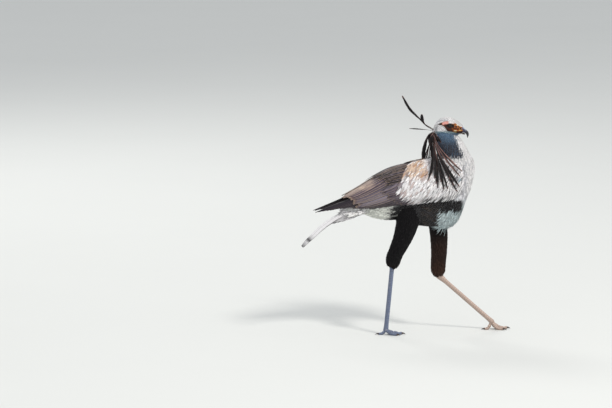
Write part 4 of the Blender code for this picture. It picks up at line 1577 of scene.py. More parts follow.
def closed_blades(
    blade: Blade, top: Array, out: Array, colours: Array, traits: Array, patch: Array
) -> MeshParts:
    """Many feathers as thin closed lenses.

    Each row is a ring: the upper side from edge to edge, and back along the under side, which
    lies below it by the thickness times the square root of 1 - e^2, with e from -1 to 1 across.

    Args:
        blade: their kind.
        top: points of the upper sides, shape (feathers, rows, columns, 3).
        out: unit vectors out of the upper sides, broadcast to top.
        colours: colours, broadcast to top.
        traits: edge, speck and random pick, broadcast to top.
        patch: for each feather the middle, width and height of its patch on the bake chart.

    Returns:
        The feathers as one set of parts.
    """
    count, rows, columns = top.shape[:3]
    e = blade.across()
    inner = np.arange(columns - 2, 0, -1)
    fall = blade.thickness * np.sqrt(1 - e[inner] ** 2)
    out = np.broadcast_to(out, top.shape)
    under = top[:, :, inner] - out[:, :, inner] * fall[:, None]
    rings = np.concatenate([top, under], axis=2)
    sides = rings.shape[2]
    order = np.concatenate([np.arange(columns), inner])
    at = np.arange(count * rows * sides).reshape(count, rows, sides)
    after = np.roll(at, -1, axis=2)
    quads = stacked(at[:, :-1], after[:, :-1], after[:, 1:], at[:, 1:]).reshape(-1, 4)
    faces = [quads, at[:, 0, ::-1], at[:, -1]]
    vane = stacked((e[order] + 1) / 2, blade.along()[:, None])
    bake = patch[:, None, None, :2] + (vane - 0.5) * patch[:, None, None, 2:]
    layers = {
        "Vane": np.broadcast_to(vane, bake.shape).reshape(-1, 2),
        "OFBake": np.clip(bake, 0.0, 1.0).reshape(-1, 2),
        "plumage": np.broadcast_to(colours, top.shape)[:, :, order].reshape(-1, 3),
        "traits": np.broadcast_to(traits, top.shape)[:, :, order].reshape(-1, 3),
    }
    return MeshParts(rings.reshape(-1, 3), faces, layers).turned_out()


def feather_along(
    blade: Blade, middle: Array, out: Array, half: Array, colours: Array, traits: Array, patch: Array,
    ragged: Optional[Array] = None
) -> MeshParts:
    """Feathers along middle lines, arched across.

    A point is the middle line's, plus e times the half width sideways, plus arch times the half
    width times 1 - e^2 outwards, with the shaft raised where e is 0.

    Args:
        blade: their kind.
        middle: middle lines, shape (feathers, rows, 3).
        out: unit vectors out of the upper side, same shape.
        half: widest half width of each feather.
        colours: colours, broadcast to (feathers, rows, columns, 3).
        traits: as closed_blades takes them.
        patch: as closed_blades takes it.
        ragged: how much each row's edges draw in, shape (feathers, rows, 2), or nothing.

    Returns:
        The feathers as one set of parts.
    """
    ahead = unit(np.gradient(middle, axis=1))
    across = unit(np.cross(ahead, out))
    normal = np.cross(across, ahead)
    e = blade.across()
    wide = half[:, None, None] * blade.half_widths()[:, None] * np.ones(len(e))
    if ragged is not None:
        wide = wide * (1 - np.where(e < 0, ragged[..., :1], ragged[..., 1:]))
    rise = wide * blade.arch * (1 - e**2) + blade.shaft * (np.abs(e) < 1e-6)
    top = middle[:, :, None] + (wide * e)[..., None] * across[:, :, None]
    top = top + rise[..., None] * normal[:, :, None]
    return closed_blades(blade, top, normal[:, :, None], colours, traits, patch)


def patch_grid(count: int, low: float, high: float) -> Array:
    """A strip of the bake chart for each of some large feathers, side by side between two heights.

    Args:
        count: how many feathers.
        low: lower height on the chart.
        high: upper height.

    Returns:
        Middle, width and height of each patch.
    """
    columns = max(1, math.ceil(math.sqrt(count * 3)))
    rows = math.ceil(count / columns)
    place = np.arange(count)
    wide, tall = 1.0 / columns, (high - low) / rows
    u = (place % columns + 0.5) * wide
    v = low + (place // columns + 0.5) * tall
    return np.column_stack([u, v, np.full(count, wide * 0.9), np.full(count, tall * 0.9)])


@dataclass(frozen=True)
class Tract:
    """A tract of short feathers: how close, long, wide and raised they are."""

    spacing: float
    length: float
    half_width: float
    lift: float
    sink: float = 0.0006


@dataclass
class Coat:
    """The short feathers of the body, laid on the skin along the lie of each tract."""

    seed: int = 11
    candidates: int = 420000
    patch_size: float = 0.003
    # Least and most of a feather's length, width and lift, as shares of its tract's
    lengths: tuple[float, float] = (0.72, 1.25)
    widths: tuple[float, float] = (0.8, 1.2)
    lifts: tuple[float, float] = (0.6, 1.35)
    # How far the lie sways and the shade varies from feather to feather
    sway: float = 0.13
    uneven: float = 0.07
    blade: Blade = Blade((0.30, 0.86, 1.0, 0.95, 0.66, 0.12), 4, 3, 0.10, 0.0003)
    chunk: int = 6500
    tracts: dict[Region, Tract] = field(
        default_factory=lambda: {
            Region.TRUNK: Tract(0.0050, 0.0230, 0.0036, 0.13),
            Region.NECK: Tract(0.0036, 0.0170, 0.0025, 0.12),
            Region.HEAD: Tract(0.0020, 0.0078, 0.0014, 0.10),
            Region.THIGH_LEFT: Tract(0.0040, 0.0200, 0.0028, 0.11),
            Region.THIGH_RIGHT: Tract(0.0040, 0.0200, 0.0028, 0.11),
            Region.RUMP: Tract(0.0055, 0.0240, 0.0042, 0.10),
        }
    )

    def scatter(self, mesh: bpy.types.Mesh, rng: np.random.Generator) -> tuple[Array, Array]:
        """Random places on the skin, as many to each triangle as its area asks, and normals.

        Args:
            mesh: the skin.
            rng: the source of the random draws.

        Returns:
            The places and the skin's normals there.
        """
        mesh.calc_loop_triangles()
        corners = np.empty(len(mesh.loop_triangles) * 3, np.int32)
        mesh.loop_triangles.foreach_get("vertices", corners)
        corners = corners.reshape(-1, 3)
        points, normals = read_points(mesh), read_points(mesh, normals=True)
        p = points[corners]
        area = np.linalg.norm(np.cross(p[:, 1] - p[:, 0], p[:, 2] - p[:, 0]), axis=1)
        pick = rng.choice(len(p), self.candidates, p=area / area.sum())
        a, b = rng.random((2, self.candidates))
        fold = a + b > 1
        a, b = np.where(fold, 1 - a, a), np.where(fold, 1 - b, b)
        weight = stacked(1 - a - b, a, b)[..., None]
        return (p[pick] * weight).sum(axis=1), unit((normals[corners[pick]] * weight).sum(axis=1))

    @staticmethod
    def thinned(points: Array, spacing: float) -> Array:
        """The places of points of which each cell of a grid holds one.

        Args:
            points: places, one to a row.
            spacing: the size of a cell.

        Returns:
            The rows of the points that stay.
        """
        cells = np.floor(points / spacing).astype(np.int64)
        key = np.bitwise_xor.reduce(cells * (73856093, 19349663, 83492791), axis=1)
        return np.unique(key, return_index=True)[1]

    @staticmethod
    def lie(points: Array, normals: Array, region: Region) -> Array:
        """The direction that the feathers of a region lie in, along the skin.

        Args:
            points: places, one to a row.
            normals: the skin's normals there.
            region: their region.

        Returns:
            Unit vectors.
        """
        x = points[:, 0]
        way = np.zeros_like(points)
        if region in (Region.TRUNK, Region.RUMP):
            way[:, 0] = -1
            way[:, 2] = -0.2 - 2.4 * smooth(x, 0.10, 0.24)
        elif region is Region.NECK:
            way[:] = (-0.22, 0.0, -1.0)
        elif region is Region.HEAD:
            way[:] = (-1.0, 0.0, -0.22)
        else:
            way[:] = (-0.10, 0.0, -1.0)
        return unit(way - normals * np.sum(way * normals, axis=1, keepdims=True))

    @staticmethod
    def chart_place(points: Array, region: Region) -> Array:
        """Where points lie on the skin's own unwrap: along it one way, round it the other.

        Args:
            points: places, one to a row.
            region: their region.

        Returns:
            Two coordinates for each.
        """
        middle = {Region.THIGH_LEFT: (0.15, 0.05), Region.THIGH_RIGHT: (-0.02, -0.05)}.get(region)
        if middle:
            turn = np.arctan2(points[:, 1] - middle[1], points[:, 0] - middle[0])
            band = 0.72 if region is Region.THIGH_LEFT else 0.86
            return np.column_stack([band + 0.13 * (turn / (2 * np.pi) + 0.5), (points[:, 2] - 0.2) / 0.45])
        high = np.clip((points[:, 2] - 0.76) / 0.2, 0, 1)
        along = np.where(high > 0, 0.45 + 0.24 * high, (points[:, 0] + 0.30) / 1.4)
        centre_z = np.where(high > 0, 0.9, 0.62)
        level = np.where(high > 0, points[:, 0] - 0.19, points[:, 2] - centre_z)
        return np.column_stack([along, np.arctan2(points[:, 1], level) / (2 * np.pi) + 0.5])

    @staticmethod
    def settled(middle: Array, normals: Array, height: Array) -> Array:
        """Rows of feathers moved along their roots' normals to their height above the flesh.

        The flesh is taken to lie as far from its forms all along a feather as at its root, and a
        row beyond the forms' ends moves as the row before it.

        Args:
            middle: middle lines, shape (feathers, rows, 3).
            normals: the skin's normal at each root.
            height: height of each row above the flesh.

        Returns:
            The middle lines after it.
        """
        root = outside(middle[:, 0])[:, None]
        height = np.where(middle[:, :1, 0] > BREAST_X, np.nan, height)
        for _ in range(2):
            far = outside(middle.reshape(-1, 3)).reshape(height.shape) - root
            shift = np.where(np.abs(far) < 0.012, height - far, np.nan)
            shift[:, 0] = np.nan_to_num(shift[:, 0])
            for row in range(1, shift.shape[1]):
                shift[:, row] = np.where(np.isnan(shift[:, row]), shift[:, row - 1], shift[:, row])
            middle = middle + shift[..., None] * normals[:, None]
        return middle

    def tract(self, places: Array, normals: Array, region: Region, rng: np.random.Generator) -> MeshParts:
        """The feathers of one region.

        A feather's middle line leaves its root along the lie and rises evenly above the flesh.

        Args:
            places: the roots.
            normals: the skin's normals there.
            region: their region.
            rng: the source of the random draws.

        Returns:
            The feathers.
        """
        kind = self.tracts[region]
        count = len(places)
        lie = self.lie(places, normals, region)
        lie = unit(lie + rng.normal(0, self.sway, (count, 1)) * np.cross(normals, lie))
        length = kind.length * rng.uniform(*self.lengths, count)
        half = kind.half_width * rng.uniform(*self.widths, count)
        lift = kind.lift * rng.uniform(*self.lifts, count)
        x, z = places[:, 0], places[:, 2]
        if region is Region.TRUNK:
            fluff = smooth(z, 0.62, 0.53) * smooth(x, 0.12, 0.17)
            length = length * (1 + 0.55 * fluff) * (1 - 0.5 * smooth(x, 0.278, 0.290))
            lift = lift * (1 + 0.5 * fluff)
        if region in HEMS:
            length = np.minimum(length, np.maximum(z - HEMS[region] + 0.022, 0.012))
        if region is Region.HEAD:
            x = head_turned(places, back=True)[:, 0]
            length = length * (1 - 0.45 * smooth(x, 0.19, 0.23)) * (1 + 0.9 * smooth(x, 0.15, 0.125))
        t = self.blade.along()
        run = length[:, None] * t
        height = -kind.sink + lift[:, None] * run
        middle = self.settled(places[:, None] + lie[:, None] * run[..., None], normals, height)
        out = np.broadcast_to(normals[:, None], middle.shape)
        colours = MarkingsAndPaintedShade.body(places, np.full(count, region.value))[:, None, None]
        light = rng.normal(1, self.uneven, (count, 1, 1, 1))
        traits = stacked(0.25, 0.0, rng.random((count, 1, 1)))
        size = np.full((count, 2), self.patch_size)
        patch = np.column_stack([self.chart_place(places, region), size])
        return feather_along(self.blade, middle, out, half, colours * light, traits, patch)

    def build(self, skin: bpy.types.Mesh) -> None:
        """Lays every tract and puts it into the scene.

        Args:
            skin: the mesh that they grow on.
        """
        rng = np.random.default_rng(self.seed)
        places, normals = self.scatter(skin, rng)
        regions = regions_of(places)
        bare = face_mask(head_turned(places, back=True)) > 0.5
        keep = ~((regions == Region.HEAD.value) & bare)
        light = PlumageFinish(
            "short_feathers", 9.0, 2.0, 0.05, 0.94, roughness=0.7, sheen=0.04, gloss=0.14
        ).material()
        dark = PlumageFinish(
            "black_feathers", 9.0, 2.0, 0.12, 0.8, Tone.PURPLE_BLACK, roughness=0.6, sheen=0.02, gloss=0.12
        ).material()
        for region, kind in self.tracts.items():
            here = np.flatnonzero(keep & (regions == region.value))
            here = here[self.thinned(places[here], kind.spacing)]
            if not len(here):
                continue
            finish, slot = (dark, "black_plumage") if region in HEMS else (light, "white_plumage")
            for number in range(math.ceil(len(here) / self.chunk)):
                some = here[number * self.chunk:(number + 1) * self.chunk]
                parts = self.tract(places[some], normals[some], region, rng)
                publish(f"coat_{region.name.lower()}_{number + 1}", parts, finish)


class Kind(Enum):
    """The kinds of feathers on a folded wing."""

    PRIMARY = 1
    SECONDARY = 2
    TERTIAL = 3
    GREATER_COVERT = 4
    SCAPULAR = 5
    COVERT = 6


@dataclass(frozen=True)
class Tier:
    """A tier of a wing's feathers, from its first to its last.

    The ends are (x, degrees round the mantle) of the first feather's root and tip and the last's.
    """

    kind: Kind
    count: int
    blade: Blade
    half_width: float
    lift: float
    step: float
    first_root: tuple[float, float]
    first_tip: tuple[float, float]
    last_root: tuple[float, float]
    last_tip: tuple[float, float]
    jitter: float = 0.004
    edge: float = 0.5


FLIGHT = Blade((0.34, 0.8, 0.95, 1.0, 0.90, 0.34), 16, 7, 0.0, 0.0005, 0.0005)
POINTED = Blade((0.40, 0.85, 1.0, 0.85, 0.52, 0.10), 18, 7, 0.0, 0.0005, 0.0005)
SMALL_COVERT = Blade((0.40, 0.92, 1.0, 0.90, 0.60, 0.18), 7, 5, 0.0, 0.0004, 0.0002)


@dataclass
class FoldedWing:
    """The feathers of both folded wings, tier over tier on the mantle."""

    seed: int = 23
    tilt: float = 0.0016
    root_sink: float = 0.0040
    root_rise: float = 0.0016
    # Share of the length over which the root rises, and how late the angle follows
    settling: float = 0.25
    late: float = 1.3
    arch: float = 0.09
    raggedness: float = 0.10
    covert_rows: int = 21
    covert_columns: int = 27
    # Degrees round the mantle, and where the field of small coverts ends and begins there
    covert_edges: Table = (
        (-62.0, 0.090, 0.165),
        (-44.0, 0.048, 0.208),
        (-15.0, 0.000, 0.234),
        (9.0, -0.028, 0.236),
        (45.0, 0.000, 0.228),
        (66.0, 0.020, 0.205),
        (84.0, 0.040, 0.160),
    )
    tiers: tuple[Tier, ...] = (
        Tier(Kind.PRIMARY, 7, POINTED, 0.0120, -0.0026, 0.0006,
             (-0.170, -16.0), (-0.300, -36.0), (-0.170, 24.0), (-0.403, -2.0), 0.003, 0.05),
        Tier(Kind.SECONDARY, 13, FLIGHT, 0.0120, 0.0008, 0.0002,
             (0.060, -46.0), (-0.090, -66.0), (-0.070, -8.0), (-0.240, -40.0), 0.004, 0.2),
        Tier(Kind.TERTIAL, 13, FLIGHT, 0.0135, 0.0030, 0.0004,
             (-0.030, -14.0), (-0.225, -40.0), (-0.085, 84.0), (-0.284, 74.0), 0.007, 0.85),
        Tier(Kind.GREATER_COVERT, 15, FLIGHT, 0.0115, 0.0050, 0.0002,
             (0.110, -52.0), (0.000, -66.0), (0.020, 30.0), (-0.130, 10.0), 0.006, 0.45),
        Tier(Kind.SCAPULAR, 18, POINTED, 0.0125, 0.0068, 0.0003,
             (0.070, 18.0), (-0.080, 16.0), (0.030, 92.0), (-0.170, 84.0), 0.012, 0.8),
    )

    def laid(
        self, blade: Blade, root: Array, tip: Array, half: Array, lift: Array, tilt: Array,
        rng: np.random.Generator
    ) -> tuple[Array, Array]:
        """Feathers that lie along the mantle from sunk roots to their tips.

        The middle line goes evenly in x and a little late in angle. Points across it are found
        on the mantle again, so that a wide feather wraps round the wing.

        Args:
            blade: their kind.
            root: x and angle of each root.
            tip: x and angle of each tip.
            half: widest half width of each.
            lift: height of each tip.
            tilt: how much each one's upper edge is raised.
            rng: the source of the ragged edges.

        Returns:
            The points of the upper sides and the unit vectors out of them.
        """
        t = blade.along()
        x = root[:, :1] + (tip[:, :1] - root[:, :1]) * t
        angle = root[:, 1:] + (tip[:, 1:] - root[:, 1:]) * t**self.late
        settle = np.clip(t / self.settling, 0, 1)
        early = np.minimum(self.root_rise + lift / 4, lift)[:, None]
        rise = -self.root_sink + (early + self.root_sink) * settle + (lift[:, None] - early) * t
        middle = mantle(x, angle, rise)
        turn = mantle(x, angle + 0.01, rise) - mantle(x, angle - 0.01, rise)
        radius = np.linalg.norm(turn, axis=-1) / 0.02
        turn = unit(turn)
        ahead = unit(np.gradient(middle, axis=1))
        out = unit(np.cross(turn, ahead))
        across = unit(np.cross(ahead, out))
        e = blade.across()
        wide = half[:, None] * blade.half_widths()
        ragged = 1 - self.raggedness * rng.random((*wide.shape, 1)) * (np.abs(e) > 0.9)
        reach = wide[..., None] * e * ragged
        at_x = x[..., None] + reach * across[..., :1]
        at_angle = angle[..., None] + reach * (np.sum(across * turn, axis=-1) / radius)[..., None]
        arch = self.arch * wide[..., None] * (1 - e**2) + blade.shaft * (np.abs(e) < 1e-6)
        height = rise[..., None] + tilt[:, None, None] * reach / half[:, None, None] + arch
        top = mantle(at_x, at_angle, height)
        return top, mantle(at_x, at_angle, height + 0.001) - top

    def colours(self, kind: Kind, top: Array, root: Array, rng: np.random.Generator) -> Array:
        """The colour of every point of a tier, from its kind and its place on the wing.

        Args:
            kind: the tier's kind.
            top: points of the upper sides.
            root: x and angle of each root.
            rng: the source of the random draws.

        Returns:
            A colour for each point.
        """
        count = len(top)
        x, z = top[..., 0], top[..., 2]
        t = np.linspace(0, 1, top.shape[1])[None, :, None]
        pick = rng.random((count, 1, 1))
        paint = Paint(Tone.PURPLE, x.shape)
        streak = smooth(np.sin(x * 240 + z * 620 + pick * 9), 0.3, 0.95)
        if kind is Kind.PRIMARY:
            paint.lay(Tone.PURPLE_BLACK, 0.7 + 0.3 * pick)
        elif kind is Kind.SECONDARY:
            paint.lay(Tone.PURPLE_BLACK, 0.6 + 0.4 * pick)
            paint.lay(Tone.PURPLE_GREY, streak * 0.35)
        elif kind is Kind.TERTIAL:
            low = smooth(root[:, 1], 0.5, 0.2)[:, None, None]
            paint.lay(Tone.PURPLE_GREY, (0.25 + 0.45 * low) * pick)
            paint.lay(Tone.BROWN, smooth(t, 0.86, 0.98) * 0.6)
            high = smooth(root[:, 1], 0.80, 0.95)[:, None, None]
            tan = smooth(x, -0.215, -0.200) * smooth(x, -0.145, -0.165) * (0.55 + 0.35 * streak)
            tan = tan * smooth(z, 0.628, 0.646)
            paint.lay(Tone.EDGE, high * tan)
            stripe = smooth(root[:, 1], 1.02, 1.12)[:, None, None] * smooth(x, -0.185, -0.200)
            paint.lay(Tone.BUFF, stripe * smooth(x, -0.285, -0.270) * (0.3 + 0.35 * streak))
        elif kind is Kind.GREATER_COVERT:
            paint.lay(Tone.PURPLE_GREY, 0.05 + 0.6 * pick**2)
            low = smooth(root[:, 1], -0.30, -0.60)[:, None, None]
            paint.lay(Tone.PURPLE_BLACK, low * 0.9)
            paint.lay(Tone.PURPLE_BLACK, streak * 0.7)
        elif kind is Kind.SCAPULAR:
            paint.lay(Tone.PURPLE_BLACK, 0.7 + 0.3 * pick)
            paint.lay(Tone.BLACK, (pick < 0.45) * 0.75)
            paint.lay(Tone.BROWN, smooth(x, -0.05, 0.02) * 0.5)
            paint.lay(Tone.PURPLE_GREY, streak * (pick > 0.5) * 0.5)
        return paint.light

    def covert_field(self, rng: np.random.Generator) -> MeshParts:
        """The small coverts: rows over a patch whose rear and front edges bend with the angle.

        Args:
            rng: the source of the random draws.

        Returns:
            The feathers of one wing.
        """
        rows, columns = self.covert_rows, self.covert_columns
        knots, rear, front = np.array(self.covert_edges).T
        s, a = np.meshgrid(np.linspace(0, 1, rows), np.linspace(0, 1, columns), indexing="ij")
        a = a + (np.arange(rows) % 2)[:, None] * 0.5 / columns
        angle = np.radians(-62.0 + 146.0 * a) + rng.normal(0, 0.02, a.shape)
        back_x = np.interp(angle, np.radians(knots), rear)
        front_x = np.interp(angle, np.radians(knots), front)
        x = back_x + (front_x - back_x) * s + rng.normal(0, 0.002, a.shape)
        length = 0.040 - 0.022 * s + rng.normal(0, 0.0015, a.shape)
        half = (0.0090 - 0.0040 * s) * rng.uniform(0.9, 1.15, a.shape)
        droop = np.radians(-14.0) * (1 - 0.3 * s)
        root = np.column_stack([x.ravel(), angle.ravel()])
        tip = np.column_stack([(x - length).ravel(), (angle + droop).ravel()])
        bend = smooth(s, 0.86, 1.0)
        lift = (0.0098 + 0.0022 * s - 0.0070 * bend + rng.normal(0, 0.0005, a.shape)).ravel()
        tilt = np.full(len(root), self.tilt)
        top, out = self.laid(SMALL_COVERT, root, tip, half.ravel(), lift, tilt, rng)
        mid = top[:, top.shape[1] // 2, top.shape[2] // 2]
        x, z = mid[:, 0], mid[:, 2]
        draw = rng.random(len(root))
        paint = Paint(Tone.WHITE, x.shape).lay(Tone.PALE, draw * 0.8)
        buff = smooth(z, 0.682, 0.702) * smooth(x, 0.088, 0.060)
        paint.lay(Tone.BUFF, buff * np.where(draw < 0.28, 0.15, 1.0))
        paint.lay(Tone.TAN, buff * (draw > 0.80) * 0.8)
        low = smooth(z, 0.608, 0.592) * smooth(x, 0.035, 0.075)
        dark = low * (rng.random(len(root)) < 0.66)
        paint.lay(Tone.BLACK, dark * 0.95)
        brown = (rng.random(len(root)) < 0.20) * (1 - low) * smooth(x, 0.20, 0.02)
        paint.lay(Tone.SPECK, brown * 0.6)
        rim = (rng.random(len(root)) < 0.45) * smooth(s.ravel(), 0.10, 0.0)
        paint.lay(Tone.PURPLE, rim * 0.75)
        navy = spot(x, z, (0.188, 0.682), (0.020, 0.0075))
        navy = np.maximum(navy, spot(x, z, (0.014, 0.755), (0.012, 0.006), 4))
        paint.lay(Tone.NECK_SHADE, np.clip(navy * 1.3, 0, 1) * 0.92)
        teal = spot(x, z, (0.212, 0.674), (0.011, 0.008))
        paint.lay(Tone.TEAL, np.clip(teal * 1.3, 0, 1) * 0.8)
        traits = stacked(0.35, (0.75 * (1 - low))[:, None, None], rng.random((len(root), 1, 1)))
        patch = patch_grid(len(root), 0.0, 0.45)
        return closed_blades(SMALL_COVERT, top, unit(out), paint.light[:, None, None], traits, patch)

    def side(self, rng: np.random.Generator) -> list[tuple[Kind, MeshParts]]:
        """Every tier of the left wing.

        Args:
            rng: the source of the random draws.

        Returns:
            The kind and the feathers of each tier.
        """
        made = []
        for place, tier in enumerate(self.tiers):
            share = np.linspace(0, 1, tier.count)[:, None]
            ends = [np.array(end) * (1.0, math.pi / 180) for end in
                    (tier.first_root, tier.last_root, tier.first_tip, tier.last_tip)]
            root = ends[0] + (ends[1] - ends[0]) * share
            tip = ends[2] + (ends[3] - ends[2]) * share
            tip[:, 0] += rng.normal(0, tier.jitter, tier.count)
            tip[:, 1] += rng.normal(0, 0.02, tier.count)
            half = tier.half_width * rng.uniform(0.92, 1.08, tier.count)
            lift = tier.lift + tier.step * np.arange(tier.count)
            tilt = np.full(tier.count, -self.tilt)
            top, out = self.laid(tier.blade, root, tip, half, lift, tilt, rng)
            colours = self.colours(tier.kind, top, root, rng)
            traits = stacked(tier.edge, 0.0, rng.random((tier.count, 1, 1)))
            patch = patch_grid(tier.count, 0.5 + 0.1 * place, 0.6 + 0.1 * place)
            made.append((tier.kind, closed_blades(tier.blade, top, unit(out), colours, traits, patch)))
        made.append((Kind.COVERT, self.covert_field(rng)))
        return made

    def build(self) -> None:
        """Puts both wings into the scene, each with its own random draw."""
        flight = PlumageFinish(
            "flight_feathers", 46.0, 9.0, 0.12, 0.55, Tone.EDGE, roughness=0.5, web=0.55, rim_from=0.82
        ).material()
        covert = PlumageFinish("covert_feathers", 14.0, 4.0, 0.06, 0.9, Tone.WHITE, roughness=0.66).material()
        for number, name in enumerate(("left", "right")):
            rng = np.random.default_rng(self.seed + number)
            tiers = self.side(rng)
            if name == "right":
                tiers = [(kind, parts.mirrored()) for kind, parts in tiers]
            large = gathered([parts for kind, parts in tiers if kind is not Kind.COVERT])
            small = gathered([parts for kind, parts in tiers if kind is Kind.COVERT])
            publish(f"wing_flight_{name}", large, flight, (f"wing_{name}",))
            publish(f"wing_coverts_{name}", small, covert)


@dataclass
class Tail:
    """Six pairs of tail feathers and the soft feathers round their roots."""

    seed: int = 31
    root_at: float = 0.040
    layer: float = 0.0014
    tilt: float = 0.0008
    arch: float = 0.0006
    raggedness: float = 0.12
    cover_count: int = 320
    blade: Blade = Blade((0.34, 0.8, 0.95, 1.0, 0.88, 0.42), 22, 7, 0.0, 0.0005, 0.0005)
    cover: Blade = Blade((0.35, 0.9, 1.0, 0.85, 0.5, 0.1), 6, 3, 0.15, 0.0004)
    # Length, half width, and distance of root and tip from the middle, the middle pair first
    pairs: Table = (
        (0.4000, 0.0145, 0.0060, 0.0090),
        (0.2520, 0.0138, 0.0075, 0.0098),
        (0.2420, 0.0136, 0.0090, 0.0118),
        (0.2290, 0.0132, 0.0105, 0.0138),
        (0.2120, 0.0128, 0.0120, 0.0160),
        (0.1920, 0.0122, 0.0135, 0.0182),
    )

    def feather(self, number: int, side: int, patch: Array, rng: np.random.Generator) -> MeshParts:
        """One feather of a pair, on the tail's sloping tent.

        Args:
            number: the pair, 0 in the middle.
            side: 1 on the left, -1 on the right.
            patch: the feather's patch on the bake chart.
            rng: the source of the random draws.

        Returns:
            The feather.
        """
        length, half_width, root_side, tip_side = self.pairs[number]
        t = self.blade.along()
        e = self.blade.across()
        along = self.root_at + (length - self.root_at) * t
        middle = side * (root_side + (tip_side - root_side) * np.clip(t * 1.5, 0, 1))
        reach = half_width * self.blade.half_widths()[:, None] * e
        reach = reach * (1 - self.raggedness * rng.random((len(t), 1)) * (np.abs(e) > 0.9))
        level = -self.layer * (2 * number + (side > 0)) + self.tilt * side * reach / half_width
        level = level + self.arch * (1 - e**2) + self.blade.shaft * (np.abs(e) < 1e-6)
        top = TAIL.points(along[:, None], middle[:, None] + reach, level)[None]
        out = np.broadcast_to(TAIL.up(along)[:, None], top.shape)
        paint = Paint(Tone.PALE, top.shape[:3]).lay(Tone.WHITE, 0.6)
        if number == 0:
            dark = smooth(t, 0.835, 0.87) * smooth(t, 0.935, 0.90)
            tip = smooth(t, 0.95, 0.975) * 0.9
        else:
            dark = smooth(t, 0.88, 0.93) * smooth(t, 0.995, 0.97)
            tip = 0 * t
        paint.lay(Tone.BLACK.light * 1.4, np.clip(dark + tip, 0, 1)[:, None] * 0.93)
        low = smooth(e * side, 0.62, 0.95) * smooth(t, 0.30, 0.42)[:, None]
        low = low * smooth(t, 0.80, 0.66)[:, None]
        rim = np.maximum(low * 0.95, (np.abs(e) > 0.7) * smooth(t, 0.66, 0.8)[:, None] * 0.4)
        paint.lay(Tone.PURPLE_BLACK, rim)
        traits = stacked(0.1, 0.0, rng.random((1, 1, 1)))
        return closed_blades(self.blade, top, out, paint.light, traits, patch)

    def covers(self, rng: np.random.Generator) -> MeshParts:
        """The soft feathers over and under the tail's root, which lie back along it.

        Args:
            rng: the source of the random draws.

        Returns:
            The feathers.
        """
        count, blade = self.cover_count, self.cover
        round_tail = rng.uniform(0, 2 * np.pi, count)
        along = rng.uniform(0.0, 0.115, count)
        half, thick = curves(TAIL.core, along)
        run = blade.along() * rng.uniform(0.030, 0.055, count)[:, None]
        reach = 0.86 * half[:, None] * np.cos(round_tail)[:, None] * (1 - run * 3.2)
        rise = (thick[:, None] - 0.002) * np.sin(round_tail)[:, None] * (1 - run * 7.0)
        middle = TAIL.points(along[:, None] + run, reach, rise)
        sideways = np.array((0.0, 1.0, 0.0)) * np.cos(round_tail)[:, None]
        out = unit(sideways + TAIL.up(along) * np.sin(round_tail)[:, None])[:, None]
        out = np.broadcast_to(out, middle.shape)
        middle = middle + out * (0.001 + 0.06 * run)[..., None]
        colour = blend(Tone.VENT.light, Tone.WHITE.light, rng.random(count) * 0.5 + 0.5)
        traits = stacked(0.0, 0.0, rng.random((count, 1, 1)))
        patch = patch_grid(count, 0.0, 0.4)
        widths = rng.uniform(0.005, 0.008, count)
        return feather_along(blade, middle, out, widths, colour[:, None, None], traits, patch)

    def build(self) -> None:
        """Puts the tail into the scene."""
        rng = np.random.default_rng(self.seed)
        patches = patch_grid(2 * len(self.pairs), 0.5, 1.0)
        feathers = [
            self.feather(number, side, patches[2 * number + (side > 0)][None], rng)
            for number in range(len(self.pairs))
            for side in (1, -1)
        ]
        flight = PlumageFinish("tail_feathers", 60.0, 9.0, 0.06, 0.8, Tone.WHITE, roughness=0.55).material()
        soft = PlumageFinish("tail_covers", 10.0, 3.0, 0.05, 0.95, roughness=0.7).material()
        publish("tail_feathers", gathered(feathers), flight, ("tail",))
        publish("tail_covers", self.covers(rng), soft)


